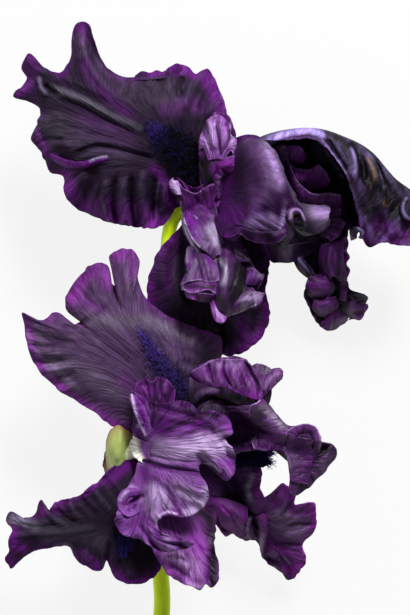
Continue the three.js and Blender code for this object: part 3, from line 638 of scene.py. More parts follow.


# Petals: contours in sheet millimetres; widths and heights of folds and tints in millimetres

# The upper front fall: grey strokes on its ridge and middle are painted sheen; the dark line under the lip at
# its slit is a painted shadow and the pale end of the slit a painted highlight
upperFallFront = petal("upperFallFrontPiece", "upper_fall_front", fallFinish, {
    "around": 320, "along": 90, "ruffle": (0.7, 7), "seed": 3, "drawn": """
104,208,47 99,203,47
107,213,48 104,219,52 97,218,54 92,211,52 94,205,48
110,218,49 108,233,55 96,242,60 80,239,63 73,227,63 77,213,60 88,203,50
111.5,221,50 112,238,53 104,254,57 90,258,60 68,256,63 46,261,61 34,254,60 33,241,60 41,225,61 54,211,61 \
70,204,57 87,202,49
112.5,223,50 114.5,238,53 113,252,52 109,263,47 104,273,44 98,270,50 91.5,274.5,52 84,272,47 75,270,48 \
65,267.5,52 57,270,54 52,275,55 48,285,54 44.5,294.5,53 39.5,295.5,52 36.5,288,51 36,278,51 30,270.5,51 \
22.5,273,49 15,280,47 11,273,46 14,267,49 7,259,47 14,256.5,50 21,252,52 19,245,50 16,238,46 21,231,50 \
26,221,47 32,219,50 33,210,55 38,203.5,50 46,199.5,46 55,196,49 62,194.5,54 68,194,48 75,193,53 82,195,49 \
86.5,201,48
1.9 8 52,89 66,95 90,106 112,118 142,132
-1.3 6 53,99 72,105 90,113 106,122 150,143
-1.4 6 50,82 70,88 92,98 112,109
1.4 9 50,118 80,124 120,138
-2.6 5 72,159 84,153 98,149 112,150 128,154 158,162
1.6 4 53,157 66,164 80,168 94,167 107,161
-2.8 4.5 118,178 114,192 115,208 118,228
2.8 5 108,180 105,196 108,212 112,226
3 5 125,182 123,198 125,214 127,228
-3.2 4.5 133,176 131,194 132,210 135,228
3.6 7 145,172 142,190 143,206 147,226
-3 5 156,176 153,194 152,210 152,227
1.6 6 166,183 164,200 161,216
-2 8 101,172 92,186 85,200 76,211
1.8 6 88,172 80,184 72,196 68,206
-1.6 4 32,147 42,143 54,140 68,143
1.6 4 34,130 40,138 44,148
1.3 5 50,150 60,146 74,148
2.4 3.5 40,79 41,87 45,94 52,99
-3 5 46,86 52,92 60,96
1.3 5 17,97 30,87 42,78
1.3 5 29,55 35,68 50,76
1.6 6 82,28 84,50 95,75 112,96
-1.5 3.5 87,25 92,42 100,60 112,77
-2.6 6 184,78 179,88 180,102
2.2 7 206,72 196,84 189,98 184,114
-2.2 6 216,84 206,98 198,114
1.6 6 225,92 215,106 206,120
1.6 6 177,68 170,80 168,96
-1.6 5 161,72 160,86
1.5 5 149,75 151,90
-1 14 130,100 150,115 165,130
ash 0.85 6 52,90 66,95 90,106 112,118 140,131
pale 0.1 3 56,91 70,97 88,105 108,115
ash 0.3 26 45,125 80,135 120,150
ash 0.22 26 105,72 140,85 175,100
glow 0.28 12 84,60 92,78 108,98 128,118
glow 0.5 8 82,28 84,46
glow 0.25 26 85,130 120,142
glow 0.3 9 20,94 34,84
glow 0.35 8 30,58 38,70
dark 0.95 20 172,148 188,158 205,170 215,182
dark 0.5 20 165,140 200,150
glow 1 4 53,156 66,163 80,167 94,166 107,161
dark 0.7 3.5 68,167 84,171 96,169 108,163
dark 0.5 4 74,158 84,152 98,148 112,149
dark 0.65 5 87,24 92,42 101,60 112,74
glow 0.6 12 66,180 76,202 98,217 130,228 160,228
dark 0.4 5 118,178 114,192 115,208 118,228
dark 0.4 5 133,176 131,194 132,210 135,228
dark 0.5 8 98,172 90,190 80,205
dark 0.4 6 156,176 153,194 152,210
glow 0.45 9 216,78 226,98 226,120
glow 0.4 9 150,72 178,68 200,72
dark 0.35 12 205,110 215,125 212,140
dark 0.6 4 48,88 54,93 60,96
pale 0.25 3 41,80 42,88 47,95
glow 0.5 4 35,133 40,139 44,146
glow 0.6 12 208,80 218,100 222,120
glow 0.7 9 160,74 180,72 196,76
glow 0.9 10 66,176 76,200 96,217 130,230 160,228
glow 0.35 14 168,112 188,106 204,112
glow 0.5 10 156,172 168,188 172,206
glow 0.6 8 36,130 42,142 48,152
dark 0.5 6 196,92 188,110 182,124
dark 0.45 5 208,112 200,124
pale 0.9 2.2 92,164 100,161 108,159
glow 0.5 16 66,180 80,206 110,222 150,226
glow 0.5 6 22,110 26,126 34,146
pale 0.12 6 222,92 230,112
ash 0.3 18 45,125 62,132 80,138
ash 0.5 8 80,40 84,56
glow 0.5 18 90,206 118,210 148,216
glow 0.3 10 205,84 212,98
"""})

upperFallLow = petal("upperFallLowPiece", "upper_fall_low", fallFinish, {
    "around": 200, "along": 60, "ruffle": (0.5, 8), "seed": 4, "drawn": """
97,201,44 102,200,43
93,196,43.5 92,190,45 98,186,46 104,189,44 104,197,41
92,195.5,43 85,180,45 87,162,46 97,150,45 108,148,43 117,153,44 121,166,42 120,182,39 106,198.5,40
91.5,195.2,42.5 80,178,43 79,158,43 88,144,41 100,138,40 110,138,36 119,139,40 128,148,40 129,162,42 \
130,178,38 120,193,36 107,199,39.5
91,195,42 84,188,43 78,179,42 74.5,169,41 73.5,158,41 76,148,40 82,140,38 92,134,37 102,131,37 110,130.5,33 \
115,129.5,37 123,132,40 130,138,38 134,145,36 135,153,39 133,160,42 134,170,40 135,180,36 130,190,34 \
120,196,36 108,199.5,39
1.8 8 168,232 160,258 160,288
-1.8 7 186,238 180,262 182,288 194,310
-2.4 5 224,296 223,322 221,356
1.6 7 234,312 236,335 236,352
-1.2 6 255,310 252,335
1 5 205,330 210,348
glow 0.5 8 178,226 164,244 155,262 152,286
ash 0.3 6 178,258 175,274 180,290
dark 0.4 20 168,312 192,322 214,334
dark 0.7 14 200,270 215,290
glow 0.45 10 230,352 252,344 266,324 268,306
dark 0.6 6 224,300 222,330 222,354
glow 0.35 12 238,320 245,335
glow 0.25 14 180,238 170,262 170,286
dark 0.4 14 184,244 176,266 180,290
dark 0.4 12 168,250 162,270 160,286
"""})

upperFallBack = petal("upperFallBackPiece", "upper_fall_back", fallFinish, {
    "around": 160, "along": 50, "ruffle": (0.8, 8), "seed": 5, "drawn": """
102,206,43.5 97,205,43.5
107,211,37 104,216,33 97,217,31 92,211,33 93,205,37
109,213,36 106,228,27 97,238,16 82,239,8 68,230,5 72,217,8 86,206,24 92,204,33
109.5,213.5,36 107,231,27 100,248,14 82,252,6 60,250,5 46,248,5 42,232,4 50,216,4 70,209,7 84,205,22 \
92,203.5,32.5
110,214,36 108,230,28 104,246,18 97,257,12 88,263,6 78,262,9 68,259,3 58,262,6 48,260,9 40,262,5 33,254,2 \
32,246,6 27,238,0.4 33,229,5 38,219,1 43,209,6 52,204,3 62,203,8 72,205,9 82,203,20 92,203,32
1.5 8 90,95 120,110 150,130
-1.5 8 70,140 100,150 140,160
glow 0.4 10 70,80 60,120 70,170 120,200
"""})

lowerFallTop = petal("lowerFallTopPiece", "lower_fall_top", lowerFallFinish, {
    "around": 320, "along": 80, "ruffle": (0.6, 6), "crumple": (0.25, 7), "seed": 6, "drawn": """
76,84,50 71,85,49
83,92,47 84,99,50 80,102,52 74,99,51 70.5,90,47
93,104,43 100,118,46 97,126,52 88,128,57 78,122,58 70,112,55 67,98,49 69,89.5,46
98,112,42 105,127,45 100,135,50 89,141,55 77,147,60 62,151,61 48,143,61 42,130,60 48,114,57 60,99,50 \
68.5,89,45.5
100,116,41 109,124,41 111,130,41 111,134,44 110.5,139,46 100,143,50 89,147,50 82,151,51 75,156,52 \
71.5,161,53 69,169,55 70,177,56 67,182,55 62.5,183,54 58,181.5,53 55,178.5,52 58.5,173,53 59.5,167.5,54 \
58,164,54 56,166,54 55.5,171,55 54,175,56 50.5,176,56 45.5,174.5,55 41,170,53 36.5,164,52 33.5,159,52 \
33.5,153,51 37,149.5,52 41.5,147,54 37.5,145.5,55 34,147.5,53 30,151,50 26.5,151,50 23,147.5,52 17,148,53 \
12,151,50 12.5,145,49 14.5,134,50 17,127,47 20.5,121.5,51 25,117,48 31,112,51 37.5,108,49 46,103,52 \
54.5,96,50 61,92,47 66,90,45 68,88.5,45
1.4 9 95,312 118,330 140,352
-1.2 7 85,325 110,345 135,368
-1.5 5 58,328 75,326 92,318 110,306
1.5 6 30,322 50,332 80,338
-1.3 4 28,344 44,346 60,346
1.1 4 33,352 48,354 64,354
-1.2 4 38,362 52,362 68,360
1 4 44,370 58,370 74,366
-1.2 4 50,380 64,376 78,371
1.2 5 90,274 98,292 108,306
-1 4 78,284 88,298 100,308
1.2 5 122,256 127,275 130,300
-1.5 4 113,286 118,300 124,310
1.2 5 136,258 136,280 142,300
1.3 8 165,322 185,340 205,350
-1.3 7 180,360 200,366 214,362
ash 0.5 12 95,318 118,322 150,322 190,338
ash 0.35 14 60,360 90,372 118,392
glow 0.75 9 26,322 34,350 50,378 76,398
glow 0.6 9 76,398 100,416 124,430
glow 0.6 12 74,298 84,280 102,268 108,284
glow 0.55 9 118,258 130,256 134,275
glow 0.4 12 85,300 100,310
dark 0.75 10 170,372 180,388 190,402
dark 0.5 9 130,410 136,430
glow 0.35 16 125,380 140,392
dark 0.4 4 30,325 44,332 60,334 88,332
pale 0.2 5 28,332 40,354 56,378
dark 0.3 14 186,352 206,360
ash 0.2 10 40,334 50,352 66,370
glow 0.6 6 27,322 31,345 46,370 62,386
glow 0.7 10 62,390 84,408 108,424 128,432
glow 0.4 9 72,300 84,280 100,272
pale 0.3 6 50,360 62,373 78,387
"""})

lowerFallLeft = petal("lowerFallLeftPiece", "lower_fall_left", fallFinish, {
    "around": 300, "along": 70, "ruffle": (0.6, 6), "crumple": (0.15, 9), "seed": 7, "drawn": """
67,82,45 69,78,44
62,78,46 60,72,48 63,66,50 68,64,50 73,68,48 75,74,44
61,77.8,45.5 52,66,49 48,56,51 51,48,53 58,42,54 66,43,53 73,52,50 76,64,46 76,73,43
60.5,77.6,45 50,65,48 38,57,49 28,49,48 20,44,47 21,38,48 32,38,50 45,37,51 56,33,52 64,27,52 73,28,50 \
79,38,47 80,54,44 79,65,43 76.5,72.5,42.5
60,77.4,45 54,72,48 49,67,47 43,63,50 39,59.5,47 35,59,50 31,58,46 27,56,50 24.5,53,47 20.5,58,43 17.5,50,42 \
12,48.5,42 5,51.5,40 2.5,47.5,40 6,42.5,43 4,35,44 4.5,31.5,43 2.5,28.5,42 5.5,23.5,42 9,26.5,44 14,30.5,45 \
19,33,46 25,34,47 30,35,46 35,34.5,45 38,28.5,44 43,25,45 47,22.5,46 51,23,46 53.5,28,47 56.5,21.5,49 \
60,18,50 64,16,49 70,16.5,48 75.5,18.5,48 79.5,22.5,47 83,34,44 84,48,42 82,62,42 77,72,42
1.6 6 10,534 40,532 70,530 100,524
-1.8 5 14,524 40,526 60,522
1.6 5 48,510 58,520 70,526
-1.6 4 56,506 66,516 78,522
1.5 5 68,500 76,512 86,520
-1.5 5 80,496 90,506 100,514
1.4 5 94,488 104,500 112,510
-1.2 5 102,474 114,488 122,500
-1.8 5 106,566 108,552 112,538
1.6 8 128,548 130,562 132,576
1.4 6 84,548 92,560
ash 0.9 9 10,518 24,520 36,526
pale 0.45 8 12,518 26,522
glow 0.55 7 12,532 14,544 24,548
glow 0.55 7 44,512 60,498 80,492 104,478
dark 0.4 18 70,522 100,520 120,520
glow 0.5 8 80,552 96,562
dark 0.85 16 124,552 140,562 148,556
glow 0.5 4 112,574 130,582 152,574 162,562
glow 0.6 9 110,480 126,466 136,462
ash 0.6 4 44,502 48,510
ash 0.35 18 50,530 80,530 100,540
"""})

lowerFallRight = petal("lowerFallRightPiece", "lower_fall_right", fallPurpleFinish, {
    "around": 280, "along": 70, "ruffle": (0.7, 6), "seed": 8, "drawn": """
73,83.5,46 72,80.5,45
86,83,42 94,80,38 93,73,37 84,72,38
93,84,42 110,80,40 117,73,36 116,63,31 109,56,29 98,61,31 86,70.5,37
97,84,42 114,80.5,41 123,73,39 121,64,35 123,54,31 130,49,29 139,46,27 143,40,24 144,33,19 143,25,15 \
137,30,16 132,38,20 124,41,20 113,45,23 100,57,30 86,70,36.5
100,84,42 115,81.5,42 128,77,42 131,70,42 130.5,63,38 133,57.5,36 137,61,38 141,65.5,39 145,63.5,36 \
148,60,33 148,54.5,31 152,55,33 157,55.5,32 159,47,26 157,39,22 152.5,34,20 154,26,20 151.5,20,16 \
148,15.5,12 144.5,14.5,10 141,19,13 136,21.5,8 131.5,27,13 131,32,18 128,35,14 122.5,34.5,10 117,38,14 \
112.5,37.5,19 108,44,24 98,57,31 86.5,69,36
2 5 256,470 249,486 249,502
-2.4 8 228,470 238,486 240,500
1.8 8 222,508 236,516 250,522
-1.6 4 212,500 228,503 244,510
-2 4 222,528 236,540 246,544
-2.8 6 256,520 258,532 260,542
1.5 5 270,512 290,520 314,518
-1.6 3.5 290,528 302,526 314,528
1.5 5 284,538 300,536 312,532
-1.4 4 276,546 292,548 306,550
1.6 5 272,552 288,558 304,568
-2.4 5 266,560 276,566 286,562
1.8 3 278,570 284,574 288,582
1.4 8 278,492 284,505 282,518
-1.5 4 292,490 290,505 286,516
dark 0.65 28 212,466 224,484 236,498
dark 0.8 10 226,496 244,504 250,514
ash 0.95 5 252,474 248,488 250,502
pale 0.3 3 252,474 248,488 250,502
glow 0.5 6 254,488 260,502
glow 0.6 14 218,510 232,520 246,530
dark 0.8 8 254,520 258,534
dark 0.5 6 212,522 222,532
ash 0.9 5 250,543 262,548
pale 0.4 20 280,522 298,534
glow 0.9 6 312,510 316,520 314,530
glow 0.8 7 272,550 290,560 300,572
glow 0.9 9 290,572 300,578
dark 0.8 6 265,556 270,566 282,570
pale 0.4 3 279,568 286,563 291,568
dark 0.4 3 290,528 302,526 314,528
dark 0.5 6 284,516 292,506
glow 0.5 10 282,490 276,505
"""})

# The hood: the pale band along its rolled top is a painted highlight; the dark strokes in its hollow and below
# the dome are painted shade; the grey strokes are painted sheen; the brown streak is dead tissue
upperStandardRight = petal("upperStandardRightPiece", "upper_standard_right", hoodFinish, {
    "around": 340, "along": 90, "ruffle": (0.8, 5), "crumple": (0.2, 7), "seed": 9, "drawn": """
101,206,44.5 101,203,44
111,216,43 118,215,38 121,208,36 117,202,37 110,201,41
115,226,44 128,229,40 142,226,33 152,213,30 150,199,29 136,193,31 122,197,35 111.5,200,40
117,231,46 132,239.5,48 143,242,50 155,243,50 166,241,49 175,237,48 184,233.5,47 191,225,47 198,217,47 \
206,211.5,45 213,206,42 214.5,200,39 208,200,34 196,200,31 184,200,31 174,198,32 169,190,31 168,180,28 \
167,170,23 168,160,16 163,151,8 157,160,16 155,170,23 150,180,28 138,184,31 126,191,35 112.5,199.5,39.5
118,233,48 130,236.5,54 143,236.5,57 155,237,59 163,232,61 170,222,63 175,210,63 178,198,60 180,190,57 \
184,183.5,54 190,186,57 197,184.5,52 205,184.5,52 211,188,48 214,195,42 208,196,36 196,194,33 184,194,34 \
175,193,38 174,186,34 173.5,178,32 174,168,25 176,163,21 184,160,23 185,157,17 178,153,10 174,150,6 \
171,143,0.4 165,142.5,4 160,146,10 155,155,16 153,162,20 158,170,24 152,177,28 143,176.5,31 137,178,32 \
132,184,33 122,193,36 114,199,39
2 4 322,142 330,156 338,168 344,180
-2.5 4 326,140 335,156 344,172
2.2 4 350,148 354,164 352,182
-2.5 4 360,150 363,168 362,186
2.2 4 367,156 373,172 372,190
-2.5 4 376,164 380,180 380,196
1.8 5 386,178 396,192 404,204
-2.5 8 322,140 330,158 340,178
2.4 7 334,142 344,160 352,180
-2.2 7 346,142 356,160 362,182
2 6 358,148 368,166 378,190
-1.8 6 372,158 382,178 388,200
2 6 286,176 296,190 312,197 340,196
-2.5 8 292,160 306,176 326,188
2 6 290,184 306,180 318,168 328,178
-1.8 5 348,200 352,215 356,230
1.8 6 364,215 368,232 372,244
-1.5 5 378,214 384,232 390,244
1.5 5 392,222 400,238
2.2 4 346,238 350,252 348,268 350,284
-2 5 338,240 340,258 338,276
2 6 312,284 326,284 338,286
-2.6 4 318,296 330,297 340,300
2.2 6 320,304 332,308 342,312
-2.4 4 326,316 336,318 346,318
2 5 330,322 340,326
2.2 6 352,304 362,308 368,312
-2 4 350,296 352,308 350,322
pale 0.95 6 270,140 290,134 310,132 320,136
glow 0.4 7 270,140 300,133
dark 0.6 15 290,158 312,168 330,182
glow 0.7 7 292,152 298,158 304,160
glow 0.5 5 292,184 306,180 318,168 326,176
glow 0.6 4.5 288,178 298,192 314,198 340,197
pale 0.15 4 322,150 332,164 340,176
ash 0.3 5 346,150 352,164 352,178
ash 0.2 3 331,140 336,150 338,160
pale 0.4 1.8 321,143 327,151 333,159 339,168 343,177
pale 0.1 4 358,150 366,164
dark 0.7 7 358,160 366,176 372,196
dark 0.5 9 336,180 348,200 358,214
dark 0.6 9 384,180 396,196 408,210
ash 0.45 4 386,186 394,196 400,204
glow 0.3 13 366,226 380,236 400,240
glow 0.6 10 340,200 346,216 352,232
ash 0.6 5 300,262 312,274
glow 0.35 6 350,244 352,262 350,282
glow 0.35 5 362,314 368,308
glow 0.5 4 330,330 342,328
dark 0.6 5 336,296 344,306 348,316
dry 0.55 2 366,160 370,170 372,180 369,188
dry 0.35 1.6 369,164 374,176 373,185
dark 0.9 2.5 371,160 377,176 377,190
pale 0.6 1.8 367,155 374,164 379,176 382,190
dark 0.9 8 374,184 384,200 392,212
dry 0.8 2.5 381,202 385,205
pale 0.2 4 349,150 353,164 352,178
dark 0.8 5 340,144 344,158 345,172
dark 0.8 6 359,152 363,168 364,184
dark 0.8 6 348,184 358,202 368,222
ash 0.15 4 366,206 371,220 373,234
glow 0.4 14 380,222 394,230 408,234
glow 0.6 6 366,238 384,246 402,244
pale 0.8 4 276,139 292,135 308,134 316,136
dark 0.35 16 372,208 392,214
dark 0.4 14 374,218 392,224
dark 0.95 16 266,252 284,252 306,254
glow 0.5 1.6 272,246 274,259
glow 0.5 1.6 280,245 281,260
glow 0.5 1.6 289,245 287,259
glow 0.6 14 378,228 394,234 408,238
dark 0.45 20 362,170 384,192 404,214
glow 0.6 10 382,228 398,238
pale 0.35 2 350,150 354,164 352,176
"""})

# The dome: pale strokes on its right and low down are a painted highlight, the grey band down its right edge
# painted sheen, and the dark strokes along its lower edge painted shade under the hem
upperStandardFront = petal("upperStandardFrontPiece", "upper_standard_front", domeFinish, {
    "around": 260, "along": 70, "ruffle": (0.6, 6), "crumple": (0.25, 8), "seed": 10, "drawn": """
101,206.5,48 102,203,47.5
109,219,57 114,218,63 117,210,66 113,202,62 108,199.5,55
112,227,60 121,230,74 129,224,81 132,212,84 126,200,82 116,194,73 108,199,57
113.5,231,61 124,235,71 132,229,76 137,219,78 140,208,78 143,199,76 141,191,77 132,190,77 122,193,77 \
113,192,69 107.5,198.5,57.5
115,235,62 119,237.5,64 126,238.5,64 133,235,62 139,227,60 143,217,60 146.5,210,61 150,204,60 157,202.5,62 \
163,200,60 163.5,194,57 157,190,61 151,189.5,58 147,193,64 145,188,70 142,184.5,72 138.5,184,77 134,187,69 \
130,187,75 126,190,70 121,190.5,76 117,186,72 112,187.5,70 109,192,64 107,198,58
1.2 6 284,200 281,218 279,242
-1 5 291,210 289,234
-1 8 264,206 262,224 258,240
1.6 7 250,200 250,222 247,238
-1.2 12 246,150 246,175 250,195
1.8 9 268,148 276,168 282,190
-2 5 296,208 305,222 303,240
1.4 6 316,206 316,236
-1.8 5 331,208 334,222 330,238
1.2 4 240,238 252,234 264,240 274,244
1.8 4 286,218 290,213 297,214 300,222
-3 4 291,226 296,226 300,232
ash 0.25 9 245,148 247,172 250,194
dark 0.5 16 240,152 237,176 238,198
pale 0.4 13 266,152 272,168 277,186
pale 0.4 6 269,158 274,170 278,182
pale 0.4 12 252,230 264,226 276,230
glow 0.9 18 224,180 228,210 236,236
pale 0.45 4 282,214 280,228 278,240
dark 0.85 26 278,252 302,255 328,252
dark 0.4 5 262,208 266,222 268,238
glow 0.6 12 232,214 240,230 252,232
pale 0.95 3.5 288,219 291,213 297,214 301,221
dark 0.9 5 292,226 297,228 303,234
ash 0.9 4 262,142 275,156 285,178 292,198 299,210
ash 0.9 13 306,216 324,218
pale 0.25 9 312,214 320,214
dark 0.8 6 333,204 336,220 332,236
glow 0.7 5 342,206 344,222 338,238
dark 0.5 6 262,236 250,240
glow 0.6 26 240,160 244,200 252,226
dark 0.95 8 240,246 256,252 276,252
dark 1 14 258,253 280,254 296,254
dark 0.45 14 242,158 240,184 246,204
pale 0.35 6 268,156 273,170 278,184
glow 0.5 10 232,150 244,142 258,142
pale 0.3 8 246,228 258,220 270,222
"""})

# The low standards in the middle of the upper bloom: grey and pale strokes on the ridge are a painted
# highlight, the dark stroke to its right painted shade
upperStandardLow = petal("upperStandardLowPiece", "upper_standard_low", clusterFinish, {
    "around": 240, "along": 70, "ruffle": (0.8, 5), "crumple": (0.8, 5), "seed": 11, "drawn": """
94,204,46 98,201,49
91,199,49 97,199,55 104,200,53
92,191.5,52 97,190,58 104,190,61 111,191,59 115,194,56
95.5,184.5,56 99,175,62 101,169,67 107,166,68 112,166,68 119,169,66 122,178,60 119,187,57
96.5,182,57.5 93,179,57 93,171,61 90.5,165,63 93,161,69 98,158.5,73 103,158,65 106,154,65 107.5,148,69 \
111,146,73 113.5,149,67 118,151,61 124,155,65 127,153,71 131,157,67 128,161,61 130,167,67 127,173,63 \
122,183,58
3 6 224,258 222,270 219,286 216,300
-3.2 7 237,266 233,282 228,296 222,310
2.4 6 244,248 250,260 256,274
-1.5 4 236,250 240,262 246,276
2.2 6 260,292 246,300 232,306 222,313
-2.5 5 252,284 240,291 230,302
-2.2 5 197,260 201,274 204,284
1.6 5 190,240 200,255 208,272
2.2 4 182,286 195,289 212,291
-2.5 4 184,295 200,298 214,300
-1.4 3 184,212 198,232 214,248
1.2 3 190,210 204,228 218,240
-1.2 3 196,208 210,222 224,232
1 3 182,222 190,240 198,256
ash 0.9 6 224,262 222,274 220,286
dark 0.95 8 239,268 235,284 229,300
pale 0.35 12 200,222 212,236
glow 0.6 9 188,214 194,232 202,244
pale 0.95 2.5 180,203 183,220 189,237 197,252
glow 0.45 5 186,226 194,244 204,258
ash 0.5 8 214,250 212,262
pale 0.7 3 184,288 198,290 213,292
dark 0.75 5 184,298 200,301 212,302
glow 0.6 5 190,284 206,285
pale 0.5 5 248,300 234,307
pale 0.5 5 218,314 224,318
ash 0.5 8 236,246 246,258
pale 0.35 5 258,276 250,270
dark 0.8 6 244,282 236,296
"""})

# The trumpet-like standard: grey strokes on its waist are painted highlight and sheen; the darkest strokes
# paint the shade under its crest and in its hole
lowerStandardRight = petal("lowerStandardRightPiece", "lower_standard_right", trumpetFinish, {
    "around": 300, "along": 70, "ruffle": (0.7, 6), "crumple": (0.4, 6), "seed": 12, "drawn": """
76,84,46 77,80,45
90,96,45 98,95,43 104,90,42 100,83,44
95,108,52 106,109,50 116,105,46 124,98,46 122,90,46 112,83.5,46
95,117,62 103,115,67 113,111,70 122,107,70 126,103,68 130,98,65 138,93,64 146,90,66 152,86,66 156,80,62 \
154,74,60 149,70,61 147,77,63 143,86,61 136,88.5,60 128,89,57 121,85,52 116,82,48
94.5,121,66 99,125,68 104,127.5,72 109,129,70 114,129.5,74 118,130,70 122,129,73 125,125,69 129,123,72 \
133,123,69 137,124,71 139.5,124,72 141,120.5,72 138,117,70 133,112,68 130,107,66 133,104.5,62 138,101,60 \
143,95.5,62 150,96,66 156,95.5,68 159,91,70 159.5,88,68 164.5,86.5,62 167.5,83.5,60 165,77,58 159,70,56 \
153,64.5,58 147,61,60 144,62,62 144,70,64 143,77,64 141.5,82,62 137.5,83,60 131,83,58 127.5,85.5,58 \
124,84,54 118,81,48
1.8 5 200,372 215,380 232,386
-1.6 4 196,378 212,388 226,394
1.8 5 222,358 232,370 246,380
-1.6 4 234,357 242,368 254,378
1.8 5 246,358 254,370 262,378
-1.8 4 258,364 264,374 266,384
1.6 5 276,368 270,380 262,392
-2.6 8 208,398 224,396 244,396
2.2 6 194,396 202,386 216,380
1.8 4 200,410 210,404 222,404
2 6 252,398 262,408 276,420
-2 6 256,412 268,424 280,430
1 6 288,428 300,424 312,428
-3 7 308,448 318,444 326,448
1 7 292,440 298,460 302,480
-0.8 6 300,440 308,462 308,484
1.6 5 318,468 322,456 332,452
-1.8 3 208,362 214,372 222,384
-2 3.5 226,360 232,370 240,382
-3 4 240,360 247,371 257,388
1.6 5 216,360 222,371 231,384
dark 0.6 2.5 208,362 214,372 222,384
dark 0.6 2.5 226,360 233,371 240,382
dark 0.9 3.5 241,362 247,371 257,388
glow 0.8 9 194,374 204,370 210,380
glow 1 6 242,392 250,396 256,392
pale 0.3 12 216,368 228,378
pale 0.5 10 262,384 276,374
pale 0.5 8 240,384 246,376
pale 0.7 9 192,388 206,386
glow 0.8 5 200,402 206,391 216,389
dark 0.95 12 214,398 230,396 252,400
glow 0.7 10 228,410 246,412
ash 0.8 1.6 225,407 249,406
ash 0.8 1.6 227,412 249,411
ash 0.7 1.6 228,416 245,420
pale 0.6 2.5 249,402 248,416 252,424 258,430 254,436 251,441
ash 0.95 7 261,408 270,415 282,427
dark 0.5 8 254,408 256,422
glow 0.5 10 262,440 276,438
dark 0.7 9 298,436 308,438
ash 0.2 4 285,452 289,470
dark 1 12 314,452 320,448 326,448
glow 0.5 10 300,450 300,470
glow 0.7 5 333,448 330,458 322,470
dark 0.4 3 300,458 308,472 312,484
dark 0.4 18 298,446 302,462 304,480
glow 0.5 12 300,446 304,466
glow 0.6 16 198,372 222,368 240,374
dark 0.3 16 298,446 304,462 304,480
pale 0.4 3 226,402 238,400
glow 0.6 3 206,382 222,384 238,388
"""})

lowerStandardFront = petal("lowerStandardFrontPiece", "lower_standard_front", orchidFinish, {
    "around": 320, "along": 80, "ruffle": (0.6, 6), "crumple": (0.2, 7), "seed": 13, "drawn": """
67.5,85,49 69.5,83.5,50 69.5,81.5,49
67.5,89.5,54 70,94,58 76,94,61 81,87,63 79,78,62 73,74,59 69.5,77,54.5
67,91,55 69,101,61 80,102,66 92,95,69 96,85,70 91,75,68 83,66,67 74,60,65 68,65,61 68,71,58 69,76.5,54.5
66.8,91.7,55.5 67.5,100,60 69,107,62 80,104,64 95,101,68 108,96,70 110,88,71 108,79,69 99,78,68 97,70,71 \
98,63,70 92,58,68 84,57,66 77,54,65 74,48,66 76,42,66 71,42,65 65,47,65 63,54,63 65,61,62 68,68,59 69,76,54
66.5,92.5,56 67.5,101,60 65,111,61 67,113,65 72,110,61 79,107,64 86,107.5,67 92,108,65 97,105.5,70 \
100,102,66 107,103.5,70 113.5,99.5,67 116,92,72 113,90.5,67 113.5,88,70 116,85,72 117.5,78,67 115.5,71,71 \
112.5,69,67 109,71.5,62 104,76,62 100.5,77,66 99.5,73,70 103,68,72 104.5,62,71 101,55,67 93,51,68 86,51.5,65 \
81,51,67 79.5,47,66 81.5,43,67 88,41,66 97,38.5,68 95,36,63 89,34.5,66 82,33.5,61 75,37,66 70,40,62 \
63.5,41.5,66 58.5,47,61 58.5,51.5,65 60,57,60 61,62.5,63 65,66,59 68,70,57 69,75.5,54
-2.8 5 136,456 160,464 190,468 206,470
-1.2 3 140,452 165,456 195,460
1.6 10 150,440 180,446 210,448
-1.5 6 165,420 195,424 222,432
1.6 6 170,404 195,410 220,424
-1.6 5 210,428 222,440 230,456
1.8 6 200,440 214,456 222,470
-1.5 5 196,450 206,462 212,474
2 7 170,476 190,484 204,492
-1.8 6 150,474 170,490 176,506
2.2 8 148,480 154,500 158,518
-3.2 7 170,514 176,524 184,536
1.8 4 160,516 168,509 178,512
-1.8 5 140,490 134,504 126,516
2 5 124,498 132,488 142,488
-2.2 4 130,502 138,496 146,492
1.5 5 150,520 156,534 166,544
-1.2 4 140,520 148,532 156,544
1.8 4 132,395 140,410 147,425 148,440
-2.4 5 140,400 144,412 140,424
-1.4 4 150,398 154,412 152,428
1.2 5 190,494 200,500 206,506
pale 0.7 3.5 132,394 136,406 141,416
pale 0.7 4 140,424 147,418 149,428
glow 0.9 8 143,402 146,412 142,418
dark 0.5 10 152,398 158,412
dark 0.5 22 160,400 178,408
glow 1 12 162,414 164,428 162,440
glow 1 28 154,398 176,404 198,412
dark 0.75 6 170,426 184,420 200,414 218,412
dark 0.5 4 180,434 196,428 212,422
dark 0.5 4 186,408 200,412
pale 0.45 18 160,447 190,446 216,446
pale 0.45 10 200,436 222,436 228,446
pale 1 9 133,440 135,450 141,456
pale 1 6 134,438 135,452
dry 0.4 3 131,437 136,437
glow 0.9 8 144,446 150,458 146,468
dark 0.7 2.2 150,459 172,464 200,468
dark 0.5 1.8 154,464 178,470 196,472
dark 0.95 10 204,468 214,472
pale 0.8 2.2 199,468 204,461 212,461 220,468
ash 0.4 22 180,484 196,496
pale 0.6 8 206,486 202,502 188,508
dark 0.3 3 178,478 184,492 180,506
pale 0.4 14 156,486 162,500
dark 0.45 3 168,476 170,492 166,506
glow 0.9 8 146,468 150,482
pale 0.5 6 128,490 134,486
glow 0.4 6 130,500 140,496
dark 1 9 164,518 173,519 183,524
pale 0.35 6 167,532 171,544
glow 0.6 6 152,520 158,534 156,545
glow 0.5 8 130,520 142,514 150,508
pale 0.9 1.5 157,523 159,513 168,508 178,510
dark 0.8 4 180,530 181,548
pale 0.2 4 188,540 193,545
dark 0.4 9 186,404 204,410 220,418
dark 0.5 3 204,432 216,424 226,420
dark 0.4 2.5 190,430 204,424 216,416
dark 0.6 5 220,428 230,436
pale 0.3 14 176,452 200,440 212,446
pale 0.3 10 160,492 168,502
pale 0.3 9 186,448 206,442 224,446
pale 0.3 8 182,488 198,496
glow 0.5 14 152,404 166,408
glow 0.7 9 150,396 156,408 158,424
glow 0.5 12 146,470 152,484
pale 0.3 9 148,496 152,506 158,514
"""})

